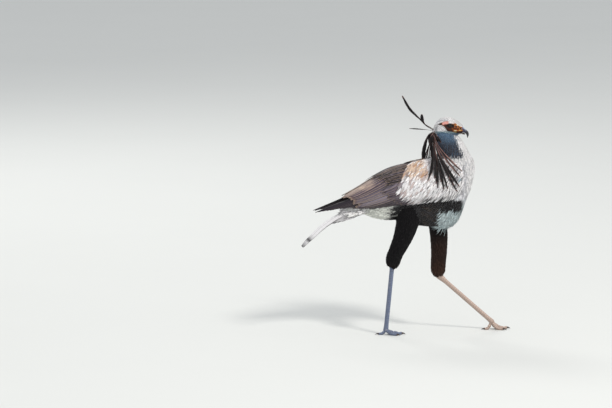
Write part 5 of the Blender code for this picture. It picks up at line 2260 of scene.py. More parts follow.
@dataclass
class Crest:
    """The long spatulate feathers of the nape, some raised and most hanging over the sides."""

    seed: int = 41
    root: Place = (0.1270, 0.0080, 0.8720)
    spread: float = 0.0075
    sink: float = 0.010
    swing: float = 0.014
    behind: float = 0.16
    hanging_half: float = 0.0056
    sway: float = 0.10
    raggedness: float = 0.16
    # How many short feathers lie on the nape, and which of the raised ones is turned edge-on
    nape: int = 12
    level: int = 2
    blade: Blade = Blade((0.17, 0.20, 0.25, 0.38, 0.70, 1.0, 0.96, 0.44), 26, 5, 0.16, 0.0005, 0.0004)
    # Half width, then the places that the quill goes through
    raised: tuple = (
        (0.0062, (0.079, 0.008, 0.908), (0.057, 0.009, 0.931), (0.017, 0.011, 0.971), (-0.017, 0.012, 1.029)),
        (0.0080, (0.092, 0.003, 0.896), (0.075, 0.001, 0.913), (0.068, 0.000, 0.930), (0.066, -0.001, 0.950)),
        (0.0060, (0.104, 0.012, 0.879), (0.080, 0.014, 0.882), (0.050, 0.016, 0.885), (0.016, 0.018, 0.887)),
        (0.0062, (0.112, -0.004, 0.862), (0.104, -0.01, 0.838), (0.106, -0.014, 0.8), (0.114, -0.016, 0.762)),
        (0.0090, (0.106, 0.012, 0.864), (0.092, 0.016, 0.840), (0.082, 0.018, 0.800), (0.074, 0.019, 0.752)),
    )
    # Side, x and z of the tip, height above the side, and how brown it is
    hanging: Table = (
        (-1, 0.0704, 0.678, 0.0125, 0.0),
        (-1, 0.0840, 0.700, 0.0150, 0.0),
        (-1, 0.0984, 0.687, 0.0140, 0.1),
        (-1, 0.1060, 0.664, 0.0125, 0.7),
        (-1, 0.1124, 0.645, 0.0150, 0.0),
        (-1, 0.1260, 0.672, 0.0145, 0.8),
        (-1, 0.1399, 0.638, 0.0125, 0.0),
        (-1, 0.1556, 0.641, 0.0150, 0.0),
        (-1, 0.1660, 0.682, 0.0165, 0.8),
        (-1, 0.1820, 0.655, 0.0140, 0.1),
        (-1, 0.1992, 0.626, 0.0125, 0.0),
        (-1, 0.2070, 0.650, 0.0150, 0.3),
        (-1, 0.2100, 0.694, 0.0165, 0.9),
        (-1, 0.2230, 0.712, 0.0150, 1.0),
        (1, 0.0800, 0.682, 0.0125, 0.0),
        (1, 0.1000, 0.660, 0.0150, 0.7),
        (1, 0.1240, 0.642, 0.0140, 0.0),
        (1, 0.1480, 0.668, 0.0150, 0.8),
        (1, 0.1720, 0.640, 0.0125, 0.0),
        (1, 0.1900, 0.672, 0.0150, 0.9),
    )

    def side_reach(self, x: Array, z: Array, clearance: float) -> Array:
        """How far out a place beside the bird keeps a clearance from its neck, trunk and wing.

        Args:
            x: places along the bird.
            z: heights.
            clearance: how far it stays away.

        Returns:
            Distances from the middle plane.
        """
        neck_x, _, length, width = curves(NECK.table, z)
        inside = np.clip(1 - ((x - neck_x) / (length + clearance)) ** 2, 0, 1)
        high = np.clip((z - NECK.table[-1][0]) / 0.020, 0, 1)
        neck_reach = (width + clearance) * np.sqrt(inside) * (1 - high)
        middle, room, half = beside_mantle(x, z)
        inside = np.clip(1 - ((z - middle) / (room + clearance)) ** 2, 0, 1)
        wing = (half + clearance) * np.sqrt(inside)
        return np.maximum(neck_reach, wing)

    def hanging_line(self, number: int, side: float, tip_x: float, tip_z: float, clear: float) -> Array:
        """The middle line of a feather that falls from behind the nape over the bird's side.

        Its x swings back as a sine and then goes forward with the square of the distance, and its
        y opens to the side until it clears neck and wing.

        Args:
            number: the feather's number.
            side: 1 on the left, -1 on the right.
            tip_x: x of its tip.
            tip_z: height of its tip.
            clear: how far it stays off the bird.

        Returns:
            Points of the middle line.
        """
        offset = np.array((0.2 * (number % 3), 1.4 * side, 1.2 - 0.5 * (number % 4)))
        root = np.array(self.root) + self.spread * offset
        t = np.linspace(0, 1, 40)
        x = root[0] + (tip_x - root[0]) * t**2 - self.swing * np.sin(np.pi * t**0.6)
        z = root[2] + (tip_z - root[2]) * t**1.15
        reach = self.side_reach(x, z, clear)
        open_out = reach.max() * t * t * (3 - 2 * t)
        y = np.where(t > self.behind, np.maximum(reach, open_out), open_out)
        for _ in range(8):
            y = np.convolve(np.pad(y, 1, mode="edge"), (0.25, 0.5, 0.25), mode="valid")
        line = np.column_stack([x, root[1] * (1 - t) + side * y, z])
        return np.concatenate([[line[0] + (self.sink, 0.0, 0.0)], line])

    def feather(
        self, line: Array, out: Place, half: float, brown: float, patch: Array,
        rng: np.random.Generator
    ) -> MeshParts:
        """One feather along its quill.

        Args:
            line: points that the quill goes through.
            out: the direction that its upper side faces.
            half: widest half width.
            brown: how brown it is, 0 to 1.
            patch: the feather's patch on the bake chart.
            rng: the source of the random draws.

        Returns:
            The feather.
        """
        place = np.linspace(0, 1, len(line))
        t = self.blade.along()
        middle = spline(np.column_stack([place, line]), t)[None]
        facing = unit(np.array(out) + rng.normal(0, self.sway, 3))
        normals = np.broadcast_to(facing, middle.shape)
        web = smooth(self.blade.across() * np.sign(rng.random() - 0.5), -0.5, 0.3)
        end = (0.86, 1.0) if brown > 0.85 else (0.50, 0.68)
        share = brown * web * smooth(t, *end[::-1])[:, None] * (0.75 + 0.25 * np.sin(t * 40)[:, None])
        paint = Paint(Tone.BLACK.light * 1.1, (1, len(t), self.blade.columns))
        paint.lay(Tone.CREST_BROWN, share)
        paint.lay(Tone.BROWN.light * 0.6, smooth(t, 0.34, 0.1)[:, None] * 0.5)
        traits = stacked(0.30 + 0.2 * brown, 0.0, rng.random((1, 1, 1)))
        ragged = self.raggedness * rng.random((1, self.blade.rows, 2)) * (t > 0.3)[None, :, None]
        halves = np.array([half])
        return feather_along(self.blade, middle, normals, halves, paint.light, traits, patch, ragged)

    def build(self) -> None:
        """Puts the crest into the scene."""
        rng = np.random.default_rng(self.seed)
        count = len(self.raised) + len(self.hanging) + self.nape
        patches = patch_grid(count, 0.0, 1.0)
        feathers = []
        for i, (half, *points) in enumerate(self.raised):
            place = np.array(self.root) + self.spread * np.array((0.0, 0.5 * (-1) ** i, 1.0 - i / 2))
            start = place - unit(np.array(points[0]) - place) * self.sink
            line = np.array([start, *points])
            facing = (0.0, -0.3, 1.0) if i == self.level else (0.0, -1.0, 0.0)
            feathers.append(self.feather(line, facing, half, 0.1, patches[i][None], rng))
        for i, (side, tip_x, tip_z, clear, brown) in enumerate(self.hanging):
            line = self.hanging_line(i, side, tip_x, tip_z, clear)
            half = self.hanging_half * rng.uniform(0.75, 1.15)
            patch = patches[len(self.raised) + i][None]
            feathers.append(self.feather(line, (0.0, side, 0.25), half, brown, patch, rng))
        for i in range(self.nape):
            side, share = (-1) ** i, (i // 2) / (self.nape / 2 - 1)
            reach = np.array((-0.026 + 0.040 * share, side * (0.010 + 0.020 * share), -0.052 + 0.020 * share))
            reach = reach * rng.uniform(0.85, 1.25)
            bow = np.array((-0.006, side * 0.008, 0.004))
            start = np.array(self.root) + self.spread * np.array((0.0, side * 0.8, 0.8 - 1.2 * share))
            stops = (start - reach * 0.15, start, start + reach * 0.35 + bow, start + reach * 0.7 + bow)
            line = np.array([*stops, start + reach])
            half = self.hanging_half * rng.uniform(0.8, 1.1)
            brown = 0.85 * (rng.random() < 0.6)
            patch = patches[len(feathers)][None]
            feathers.append(self.feather(line, (-0.5, side, 0.3), half, brown, patch, rng))
        finish = PlumageFinish(
            "crest_feathers", 60.0, 8.0, 0.12, 0.75, Tone.CREST_BROWN, roughness=0.5, sheen=0.03, gloss=0.18
        )
        publish("crest", gathered(feathers), finish.material())


@dataclass
class Face:
    """The bare skin of the face, with lids and lashes, round the eyes and to the bill."""

    back_x: float = 0.136
    front_x: float = 0.2462
    rows: int = 190
    columns: int = 260
    eye: Place = EYE
    eye_radius: float = 0.0112
    opening: tuple[float, float] = (0.0096, 0.0058)
    # Place, half length, half height and strength of each mark on the skin, and its colour
    marks: tuple = (
        (0.1880, 0.8835, 0.0055, 0.0020, 0.16, Tone.FACE_ORANGE),
        (0.2025, 0.8985, 0.0050, 0.0085, 0.96, Tone.FACE_DARK),
        (0.2068, 0.9066, 0.0022, 0.0042, 0.85, Tone.BROWN),
        (0.2142, 0.8967, 0.0044, 0.0040, 0.97, Tone.PURPLE_BLACK),
        (0.2110, 0.8888, 0.0080, 0.0030, 0.97, Tone.FACE_DARK),
        (0.2285, 0.8955, 0.0046, 0.0036, 0.92, Tone.BROWN),
        (0.2210, 0.9035, 0.0050, 0.0022, 0.8, Tone.CREAM),
        (0.2330, 0.8985, 0.0040, 0.0018, 0.8, Tone.CREAM),
        (0.2220, 0.8868, 0.0050, 0.0034, 0.97, Tone.FACE_DARK),
        (0.2358, 0.8876, 0.0042, 0.0036, 0.98, Tone.LID),
        (0.2412, 0.8866, 0.0020, 0.0018, 0.9, Tone.WHITE),
        (0.2440, 0.8915, 0.0026, 0.0030, 0.9, Tone.FACE_DARK),
        (0.2115, 0.8800, 0.0062, 0.0020, 0.9, Tone.CREAM),
        (0.2320, 0.8812, 0.0058, 0.0018, 0.9, Tone.GAPE),
    )
    mouth_z: float = 0.8762
    mouth_corner_x: float = 0.205
    bill_axis: Place = (0.0, 0.0, 0.8855)
    lash_count: int = 17
    lash_length: float = 0.0052
    lash_radius: float = 0.00022
    cornea: float = 0.0005
    # Radius of the lids' rim, how much thicker it is above, and how far it stands off the eye
    lid: float = 0.00125
    lid_swell: float = 0.0005
    lid_gap: float = 0.0004

    def sculpt(self, p: Array) -> Array:
        """How far points of the head's surface rise: folds, sockets, gape and bumps.

        A sum of bells and ridges: down into each socket, up in a brow over it, down along the
        gape, and down under the feathers outside the bare skin.

        Args:
            p: points of the unturned head.

        Returns:
            The rise at each, in metres.
        """
        x, z = p[..., 0], p[..., 2]
        bare = face_mask(p)
        dx, dz = x - self.eye[0], z - self.eye[2]
        far = np.hypot(dx / self.opening[0], dz / self.opening[1])
        socket = bell(far, 1.45, 4) * smooth(np.abs(p[..., 1]), 0.010, 0.018)
        brow = bell(dz - 0.0105 + dx * dx * 22, 0.0030) * bell(dx, 0.017, 4)
        cheek = bell(dz + 0.0115, 0.0040) * bell(dx, 0.016)
        gape = bell(z - self.mouth_z, 0.0009) * smooth(x, self.mouth_corner_x - 0.003, self.mouth_corner_x)
        lip = bell(z - self.mouth_z - 0.0024, 0.0013) * smooth(x, self.mouth_corner_x - 0.004, 0.212)
        folds = np.sin(far * 9.0 + np.arctan2(dz, dx) * 2) * bell(far - 2.1, 1.0) * 0.00022
        pebble = np.sin(x * 1900) * np.sin(z * 2100 + x * 500) * 0.00010
        form = -0.0052 * socket + 0.0013 * brow + 0.0008 * cheek - 0.0014 * gape + 0.0006 * lip
        return -0.0045 + 0.0038 * bare + bare * (form + folds + pebble)

    def colour(self, p: Array) -> Array:
        """Pink behind and above the eye, dark red-brown round it, orange in front, yellow gape, with a
        painted highlight above the eye and painted shadow of the brow round it.

        Args:
            p: points of the unturned head.

        Returns:
            Their colours.
        """
        x, z = p[..., 0], p[..., 2]
        dx, dz = x - self.eye[0], z - self.eye[2]
        wave = np.sin(x * 760 + z * 330 + 0.8) * np.sin(z * 940 - x * 390)
        fleck = np.sin(x * 1900 + z * 800) * np.sin(z * 2300 - x * 900 + 1.0)
        mottled = smooth(wave + 0.45 * fleck, -0.15, 0.75)
        paint = Paint(Tone.FACE_ORANGE, x.shape).lay(Tone.FACE_DARK, mottled * 0.97)
        pale = smooth(np.sin(x * 620 - z * 500 + 2.2) + 0.4 * fleck, 0.75, 1.2) * smooth(x, 0.196, 0.204)
        paint.lay(Tone.GAPE, pale * smooth(z, 0.886, 0.892) * 0.5)
        rear = smooth(x, 0.206, 0.192)
        paint.lay(Tone.FACE_DARK, rear * smooth(dz, 0.006, -0.002) * (0.90 + 0.09 * mottled))
        # Painted highlight: a white patch on the skin above the eye.
        over = smooth(dz, 0.0065, 0.0095) * smooth(x, 0.178, 0.184) * smooth(x, 0.214, 0.202)
        paint.lay(Tone.WHITE, over * (0.95 - 0.25 * mottled))
        pink = smooth(dz, 0.001, 0.006) * smooth(x, 0.151, 0.158) * smooth(x, 0.186, 0.178)
        paint.lay(Tone.FACE_PINK, pink * (0.92 - 0.15 * mottled))
        paint.lay(Tone.LID, smooth(x, 0.157, 0.151) * 0.9)
        below = smooth(z, 0.889, 0.880) * smooth(x, 0.212, 0.198)
        paint.lay(Tone.FACE_DARK.light * 0.6, below * 0.7)
        for at_x, at_z, long, high, strength, tone in self.marks:
            far = np.hypot((x - at_x) / long, (z - at_z) / high) + 0.22 * fleck
            paint.lay(tone, smooth(far, 1.25, 0.75) * strength)
        chin = smooth(z, 0.8772, 0.8756) * smooth(x, 0.202, 0.208)
        olive = blend(Tone.GAPE.light * 0.35, Tone.LID.light, smooth(x, 0.212, 0.220))
        paint.lay(olive, chin * 0.95)
        # Dark round the eye and along its line: partly dark lid skin, partly painted shadow of the brow.
        near = np.hypot(dx / np.where(dx < 0, 0.0170, 0.0135), (dz + 0.0012) / 0.0088)
        paint.lay(Tone.LID, smooth(near, 1.15, 0.80))
        band = smooth(np.abs(dz - 0.002 + dx * 0.05), 0.0036, 0.0018)
        band = band * smooth(x, 0.160, 0.168) * smooth(x, 0.206, 0.200)
        return paint.lay(Tone.LID, band * 0.85).light

    def mask(self) -> MeshParts:
        """The face as a closed sleeve over the front of the head, sunk where feathers grow.

        Returns:
            The closed parts.
        """
        x = np.linspace(self.back_x, self.front_x, self.rows)[:, None]
        angle = turns(self.columns)[None, :]
        plain = UprightForm(HEAD.table, HEAD.noses, HEAD.power)
        base = plain.points(x, angle, 0.0)
        _, up, half = plain.section(x, 0.0)
        out = stacked(
            0.0 * angle,
            np.cos(angle) / np.maximum(half, 1e-3),
            np.sin(angle) / np.maximum(up, 1e-3),
        )
        p = base + unit(out) * self.sculpt(base)[..., None]
        close = 1 - 0.30 * smooth(x, 0.2380, self.front_x)[..., None]
        p = self.bill_axis + (p - self.bill_axis) * np.concatenate([1 + 0 * close, close, close], axis=-1)
        return tube(head_turned(p), {"plumage": self.colour(base)})

    def ring(self, side: int) -> MeshParts:
        """The lids as one swollen rim that follows the almond opening on the eyeball.

        Args:
            side: 1 on the left, -1 on the right.

        Returns:
            The closed parts.
        """
        turn = turns(90)
        seat = self.eye_radius + self.lid_gap
        dx = self.opening[0] * np.cos(turn)
        dz = self.opening[1] * np.sign(np.sin(turn)) * np.abs(np.sin(turn)) ** 0.9
        dy = np.sqrt(seat**2 - dx**2 - dz**2)
        path = np.column_stack([dx, dy, dz])
        ahead = unit(np.roll(path, -1, axis=0) - np.roll(path, 1, axis=0))
        out = unit(path)
        over = np.cross(ahead, out)
        thick = self.lid + self.lid_swell * np.clip(np.sin(turn), 0, 1)
        angle = turns(14)
        rings = path[:, None] + thick[:, None, None] * (
            np.cos(angle)[:, None] * over[:, None] * 1.25 + np.sin(angle)[:, None] * out[:, None]
        )
        at = np.arange(len(turn) * len(angle)).reshape(len(turn), len(angle))
        after, next_ring = np.roll(at, -1, axis=1), np.roll(at, -1, axis=0)
        quads = stacked(at, after, np.roll(after, -1, axis=0), next_ring).reshape(-1, 4)
        shades = np.tile(Tone.LID.light, (rings.size // 3, 1))
        return self.placed(MeshParts(rings.reshape(-1, 3), [quads], {"plumage": shades}), side)

    def placed(self, parts: MeshParts, side: int) -> MeshParts:
        """Parts made round the origin, put at the eye of a side of the turned head."""
        parts.points = head_turned(parts.points * (1, side, 1) + np.array(self.eye) * (1, side, 1))
        return parts.turned_out()

    def lashes(self, side: int) -> MeshParts:
        """Stiff curved lashes along the upper lid.

        Args:
            side: 1 on the left, -1 on the right.

        Returns:
            The closed parts.
        """
        made = []
        for share in np.linspace(0.10, 0.90, self.lash_count):
            turn = math.pi * share
            dx = self.opening[0] * math.cos(turn)
            dz = self.opening[1] * math.sin(turn)
            root = np.array((dx, math.sqrt(self.eye_radius**2 - dx * dx - dz * dz) + 0.0012, dz + 0.0008))
            t = np.linspace(0, 1, 7)[:, None]
            way = np.array((0.5 * math.cos(turn) + 0.25, 0.75, 0.35))
            lift = np.array((0.0, 0.0, 0.9))
            path = root + self.lash_length * (way * t + lift * t**2 * 0.6)
            thick = self.lash_radius * (1 - 0.8 * t[:, 0])
            rings = sweep(path, thick, thick, 5, np.array((1.0, 0.0, 0.0)))
            shades = np.broadcast_to(Tone.BLACK.light * 0.6, rings.shape)
            made.append(self.placed(tube(rings, {"plumage": shades}), side))
        return gathered(made)

    def ball(self, side: int) -> MeshParts:
        """An eyeball, with the front raised a little as the cornea, and how far out each point is.

        Args:
            side: 1 on the left, -1 on the right.

        Returns:
            The closed parts.
        """
        polar = np.linspace(0.02, np.pi - 0.02, 48)[:, None]
        around = turns(64)[None, :]
        size = self.eye_radius + self.cornea * bell(polar, 0.55, 4)
        p = stacked(
            size * np.sin(polar) * np.cos(around),
            size * np.cos(polar),
            size * np.sin(polar) * np.sin(around),
        )
        traits = stacked(np.clip(polar / 0.86, 0, 1), around / (2 * np.pi), 0.0)
        return self.placed(tube(p, {"traits": traits}), side)

    def build(self) -> None:
        """Puts the face, lids, lashes and eyes into the scene."""
        bare = SkinFinish("bare_skin", 1300.0, 0.00030, 0.45, 0.45, 0.06).material()
        dark = SkinFinish("lid_skin", 1400.0, 0.0002, 0.4, 0.3, 0.3).material()
        publish("face", self.mask(), bare)
        publish("lids", gathered([self.ring(1), self.ring(-1)]), dark)
        publish("lashes", gathered([self.lashes(1), self.lashes(-1)]), dark)
        eye = EyeFinish("eye").material()
        for name, side in (("left", 1), ("right", -1)):
            publish(f"eyeball_{name}", self.ball(side), eye, (f"eye_{name}",))


@dataclass
class Bill:
    """The hooked bill: rows of a point on the ridge, the one opposite on the edge, half width."""

    upper: tuple = (
        ((0.2340, 0.9060), (0.2340, 0.8700), 0.0156),
        ((0.2420, 0.9020), (0.2420, 0.8700), 0.0149),
        ((0.2485, 0.8925), (0.2480, 0.8690), 0.0136),
        ((0.2545, 0.8852), (0.2530, 0.8672), 0.0121),
        ((0.2610, 0.8798), (0.2575, 0.8640), 0.0105),
        ((0.2665, 0.8742), (0.2600, 0.8600), 0.0088),
        ((0.2700, 0.8672), (0.2617, 0.8560), 0.0067),
        ((0.2706, 0.8592), (0.2630, 0.8520), 0.0047),
        ((0.2686, 0.8515), (0.2637, 0.8485), 0.0028),
        ((0.2645, 0.8450), (0.2640, 0.8457), 0.0008),
    )
    lower: tuple = (
        ((0.2430, 0.8690), (0.2430, 0.8610), 0.0120),
        ((0.2480, 0.8677), (0.2478, 0.8603), 0.0104),
        ((0.2525, 0.8658), (0.2522, 0.8602), 0.0080),
        ((0.2560, 0.8636), (0.2558, 0.8612), 0.0040),
    )
    nostril: tuple[float, float] = (0.2485, 0.8830)
    nostril_size: tuple[float, float] = (0.0042, 0.0020)

    def half_bill(self, rows: tuple, count: int, sides: int, upper: bool) -> MeshParts:
        """Half a bill through oval rings, each between a point of its ridge and one of its edge.

        Round a ring the point is the middle plus the cosine along the line from edge to ridge
        and the sine, drawn to a keel at the ridge, along the width.

        Args:
            rows: ridge point, edge point and half width of each ring.
            count: rings.
            sides: points round each.
            upper: true for the upper half, which has nostrils.

        Returns:
            The closed parts.
        """
        place = np.linspace(0, 1, len(rows))
        table = [(s, a[0], a[1], b[0], b[1], w) for s, (a, b, w) in zip(place, rows)]
        s = np.linspace(0, 1, count)
        ax, az, bx, bz, width = curves(table, s)
        angle = turns(sides)
        ridge = np.column_stack([ax, 0 * ax, az])[:, None]
        edge = np.column_stack([bx, 0 * bx, bz])[:, None]
        lift, reach = np.cos(angle)[:, None], np.sin(angle)
        keel = 1 - 0.10 * np.clip(np.cos(angle), 0, 1) ** 3
        wide = np.maximum(width, 0.0003)[:, None] * reach * keel
        p = (ridge + edge) / 2 + lift * (ridge - edge) / 2
        p[..., 1] = p[..., 1] + wide
        paint = Paint(Tone.HORN, p.shape[:2])
        if upper:
            near = (p[..., ::2] - np.array(self.nostril)) / np.array(self.nostril_size)
            near = np.hypot(near[..., 0], near[..., 1])
            dent = bell(near, 1.0, 4) * 0.0022 + 0.0005 * bell(near - 1.6, 0.4) * -1
            p[..., 1] = p[..., 1] - np.sign(p[..., 1]) * dent * (np.abs(p[..., 1]) > 0.004)
            step = 0.0004 * smooth(s, 0.30, 0.26)[:, None]
            p[..., 1] = p[..., 1] + np.sign(p[..., 1]) * step * np.abs(reach)
            base = smooth(s, 0.52, 0.22)[:, None]
            paint.lay(Tone.HORN_BLUE, base * 0.7)
            # Painted highlight: the top of the bill's base is lightened towards the ridge.
            paint.lay(Tone.BILL_PAINTED_HIGHLIGHT, base * smooth(np.cos(angle), 0.25, 0.85) * 0.9)
            under = smooth(np.cos(angle), -0.2, -0.7)
            paint.lay(Tone.GAPE.light * 0.7, smooth(s, 0.17, 0.12)[:, None] * under)
            paint.lay(Tone.BLACK, bell(near, 1.0, 4) * 0.95)
        else:
            paint.lay(Tone.BROWN, smooth(s, 0.5, 0.0)[:, None] * 0.6)
        return tube(head_turned(p), {"plumage": paint.light})

    def build(self) -> None:
        """Puts the bill into the scene."""
        horn = HornFinish("bill_horn").material()
        publish("bill_top", self.half_bill(self.upper, 90, 64, True), horn, ("bill_upper",))
        publish("bill_under", self.half_bill(self.lower, 40, 48, False), horn, ("bill_lower",))


@dataclass(frozen=True)
class LegPose:
    """One leg: where its ankle and sole are, its foot's turn in degrees, and its colour, which is painted
    light: shaded blue-grey on the near leg, sunlit pale on the far one.
    """

    name: str
    side: int
    ankle: Place
    sole: Place
    turn: float
    colour: Tone


@dataclass
class Legs:
    """Scaled shanks, feet and claws."""

    poses: tuple[LegPose, ...] = (
        # The near right leg is painted in shade and the far left leg in sunlight.
        LegPose("right", -1, (-0.068, -0.046, 0.322), (-0.091, -0.018, 0.021), -6.0, Tone.SHANK_PAINTED_SHADE),
        LegPose("left", 1, (0.158, 0.047, 0.238), (0.386, 0.030, 0.036), 4.0, Tone.SHANK_PAINTED_SUNLIGHT),
    )
    half_depth: float = 0.0094
    half_width: float = 0.0076
    scute: float = 0.0105
    toe_scute: float = 0.0052
    scute_rise: float = 0.0007
    # Swelling at the ankle and at the foot, each as a share and its width along the shank
    swells: Table = ((0.45, 0.075), (0.16, 0.05))
    # Where the shank starts above the ankle, as a share of its length
    hidden: float = -0.035
    pad_size: float = 0.0114
    claw_gap: float = 0.0004
    # Spread, length and root radius of each toe
    toes: tuple = (
        ("inner", math.radians(-34.0), 0.052, 0.0078),
        ("middle", math.radians(0.0), 0.068, 0.0082),
        ("outer", math.radians(34.0), 0.054, 0.0078),
        ("hind", math.radians(180.0), 0.030, 0.0068),
    )
    claw_length: float = 0.019

    def shank(self, pose: LegPose) -> MeshParts:
        """A shank: an oval tube, swollen at both ends, stepped by scutes that lap down its front.

        Each scute rises along its length and drops at its lower edge, and the steps fade towards
        the back, where small scales take over.

        Args:
            pose: the leg.

        Returns:
            The closed parts.
        """
        ankle, sole = np.array(pose.ankle), np.array(pose.sole)
        length = float(np.linalg.norm(sole - ankle))
        along = np.linspace(self.hidden, 1.0, 330)
        (ankle_swell, ankle_width), (foot_swell, foot_width) = self.swells
        swell = 1 + ankle_swell * bell(along, ankle_width) + foot_swell * bell(along - 1, foot_width)
        angle = turns(48)
        ahead = (sole - ankle) / length
        over = unit(np.cross(ahead, (0.0, 1.0, 0.0)))
        over = over if over[0] > 0 else -over
        out = np.cross(over, ahead)
        front = smooth(np.cos(angle), 0.05, 0.45)
        slip = 0.0024 * np.abs(np.sin(angle))
        phase = ((along[:, None] * length + slip) / self.scute) % 1.0
        tooth = phase * smooth(phase, 1.0, 0.93)
        groove = (bell(phase, 0.05) + bell(1 - phase, 0.05)) * front
        rise = self.scute_rise * tooth * front
        seam = bell(np.cos(angle), 0.10) * 0.0003
        depth = self.half_depth * swell[:, None] + rise - seam
        width = self.half_width * swell[:, None] + rise - seam
        middle = ankle + along[:, None] * length * ahead
        p = middle[:, None] + (depth * np.cos(angle))[..., None] * over
        p = p + (width * np.sin(angle))[..., None] * out
        return tube(p, self.layers(p, pose, 1 - front, groove, phase))

    @staticmethod
    def layers(p: Array, pose: LegPose, small: Any, groove: Any, pick: Any) -> dict[str, Array]:
        """The colour and traits that a scaled part carries."""
        traits = np.broadcast_to(stacked(small, np.clip(groove, 0, 1), pick), p.shape)
        return {"plumage": np.broadcast_to(pose.colour.light, p.shape), "traits": traits}

    @staticmethod
    def level_axes(heading: float) -> tuple[Array, Array]:
        """The level directions ahead of a heading and to its left."""
        c, s = math.cos(heading), math.sin(heading)
        return np.array((c, s, 0.0)), np.array((-s, c, 0.0))

    def toe(
        self, pose: LegPose, heading: float, length: float, radius: float
    ) -> tuple[MeshParts, Array, float]:
        """A toe with scutes above and pads below, and where it ends.

        Args:
            pose: the leg.
            heading: where it points, in radians.
            length: its length.
            radius: its radius at the root.

        Returns:
            The parts, the end point and the radius there.
        """
        sole = np.array(pose.sole)
        reach = np.linspace(0, 1, 90)
        rest = radius - 0.0012
        drop = (sole[2] - rest) * (1 - np.clip(reach / 0.62, 0, 1)) ** 1.6
        out, side_axis = self.level_axes(heading)
        path = sole * (1, 1, 0) + (reach * length)[:, None] * out
        path[:, 2] = rest + drop
        size = radius * (1 - 0.28 * reach) * (1 + 0.10 * np.cos(reach * 6 * np.pi))
        path[:, 2] += np.where(path[:, 2] < radius * 1.2, size - radius, 0)
        rings = sweep(path, size, size * 1.05, 36, side_axis)
        above = smooth(rings[..., 2] - path[:, None, 2], -0.001, 0.003)
        phase = (reach * length / self.toe_scute) % 1.0
        tooth = (phase * smooth(phase, 1.0, 0.9))[:, None] * above
        groove = (bell(phase, 0.10) + bell(1 - phase, 0.10))[:, None] * above
        rings = path[:, None] + (rings - path[:, None]) * (1 + 0.085 * tooth)[..., None]
        rings[..., 2] = np.maximum(rings[..., 2], 0.0002)
        layers = self.layers(rings, pose, 1 - above, groove, phase[:, None])
        return tube(rings, layers), path[-1], float(size[-1])

    def claw(self, start: Array, heading: float, radius: float) -> MeshParts:
        """A claw, curving down from the end of its toe to just above the floor.

        Args:
            start: the toe's end.
            heading: where it points, in radians.
            radius: the toe's radius there.

        Returns:
            The closed parts.
        """
        reach = np.linspace(0, 1, 34)
        out, side_axis = self.level_axes(heading)
        path = start + (reach * self.claw_length - 0.0015)[:, None] * out
        path[:, 2] = start[2] + 0.0016 * np.sin(reach * np.pi) - (start[2] - 0.0016) * reach**2
        size = np.maximum(radius * 0.8 * (1 - reach) ** 0.8, 0.0005)
        size = np.minimum(size, path[:, 2] - self.claw_gap)
        rings = sweep(path, size, size * 0.78, 24, side_axis)
        paint = Paint(Tone.HORN, rings.shape[:2]).lay(Tone.BROWN, 0.5 * (1 - reach)[:, None])
        return tube(rings, {"plumage": paint.light})

    def pad(self, pose: LegPose) -> MeshParts:
        """The ball of the foot, where shank and toes meet.

        Args:
            pose: the leg.

        Returns:
            The closed parts.
        """
        polar = np.linspace(0.03, np.pi - 0.03, 30)[:, None]
        around = turns(40)
        out = self.pad_size * np.sin(polar)
        height = min(self.pad_size, pose.sole[2]) * np.cos(polar)
        p = stacked(out * np.cos(around), out * np.sin(around), height) + np.array(pose.sole)
        return tube(p, self.layers(p, pose, 1.0, 0.0, 0.5))

    def build(self) -> None:
        """Puts both legs into the scene, below their feathered thighs."""
        scales = ScaleFinish("leg_scales").material()
        horn = HornFinish("claw_horn", 500.0, 0.36).material()
        for pose in self.poses:
            node = f"shank_{pose.name}"
            publish(f"scaled_{node}", self.shank(pose), scales, (node,))
            toes = [self.pad(pose)]
            for name, spread, length, radius in self.toes:
                heading = math.radians(pose.turn) + pose.side * spread
                part, end, size = self.toe(pose, heading, length, radius)
                toes.append(part)
                node = f"claw_{pose.name}_{name}"
                publish(f"horn_{node}", self.claw(end, heading, size), horn, (node,))
            node = f"foot_{pose.name}"
            publish(f"scaled_{node}", gathered(toes), scales, (node,))


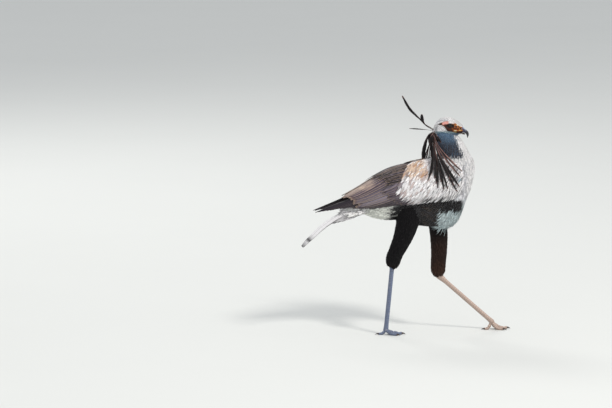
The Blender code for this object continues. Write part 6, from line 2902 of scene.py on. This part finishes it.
@dataclass
class Studio:
    """A pale floor, soft lights and the camera at the photograph's angle."""

    azimuth: float = math.radians(-10.0)
    elevation: float = math.radians(8.0)
    distance: float = 15.0
    frame_width: float = 2.64
    sensor: float = 36.0
    # Where the middle of the frame is from the bird's origin, to the right and up
    aim: tuple[float, float] = (-0.43, 0.558)
    # The place on the bird that the lights face
    lit: Place = (0.05, 0.0, 0.6)
    floor_reach: float = 70.0
    sky: tuple[float, ...] = (0.80, 0.82, 0.845, 1.0)
    sky_strength: float = 0.84

    def axes(self) -> tuple[Array, Array, Array]:
        """The camera's right, up and backward directions.

        Returns:
            Three unit vectors.
        """
        a, e = self.azimuth, self.elevation
        right = np.array((math.cos(a), math.sin(a), 0.0))
        back = np.array((math.sin(a) * math.cos(e), -math.cos(a) * math.cos(e), math.sin(e)))
        return right, np.cross(back, right), back

    def camera(self) -> None:
        """Adds the camera."""
        right, up, back = self.axes()
        centre = right * self.aim[0] + up * self.aim[1]
        lens = bpy.data.cameras.new("camera")
        lens.sensor_width = self.sensor
        lens.lens = self.sensor * self.distance / self.frame_width
        lens.clip_end = 200.0
        holder = linked("camera", lens)
        holder.location = Vector(centre + back * self.distance)
        holder.rotation_euler = Vector(back).to_track_quat("Z", "Y").to_euler()
        bpy.context.scene.camera = holder

    def light(self, name: str, place: Place, size: float, power: float, colour: Place) -> None:
        """Adds a soft square light that faces the bird.

        Args:
            name: the lamp's name.
            place: where it stands.
            size: its width.
            power: its power in watts.
            colour: its colour in linear light.
        """
        lamp = bpy.data.lights.new(name, "AREA")
        lamp.shape = "SQUARE"
        lamp.size = size
        lamp.energy = power
        lamp.color = colour
        holder = linked(name, lamp)
        holder.location = place
        facing = Vector(place) - Vector(self.lit)
        holder.rotation_euler = facing.to_track_quat("Z", "Y").to_euler()

    def floor(self) -> None:
        """Adds the floor."""
        grid = np.array([(-1, -1, 0), (1, -1, 0), (1, 1, 0), (-1, 1, 0)]) * self.floor_reach
        mesh = make_mesh("floor", MeshParts(grid, [np.array([[0, 1, 2, 3]])]))
        mesh.materials.append(FloorFinish().material())
        floor = linked("floor", mesh)

    def surroundings(self) -> None:
        """Gives the world its even pale light."""
        world = bpy.data.worlds.new("world")
        bpy.context.scene.world = world
        world.use_nodes = True
        back = world.node_tree.nodes["Background"]
        back.inputs["Color"].default_value = self.sky
        back.inputs["Strength"].default_value = self.sky_strength
        bpy.context.scene.view_settings.view_transform = "Standard"

    def build(self) -> None:
        """Sets the studio up."""
        self.camera()
        self.light("key", (4.6, -8.4, 9.6), 2.4, 1000.0, (1.0, 0.97, 0.92))
        self.light("fill", (-5.2, -8.4, 4.4), 5.0, 60.0, (0.92, 0.96, 1.0))
        self.light("rim", (-2.4, 6.4, 6.0), 3.0, 190.0, (1.0, 0.99, 0.96))
        self.floor()
        self.surroundings()


def main() -> None:
    """Builds the whole scene, part by part."""
    logging.basicConfig(level=logging.INFO, format="%(message)s")
    Studio().build()
    skin = Skin()
    mesh = skin.build()
    Coat().build(mesh)
    skin.dress(mesh)
    FoldedWing().build()
    Tail().build()
    Crest().build()
    Face().build()
    Bill().build()
    Legs().build()


if __name__ == "__main__":
    main()
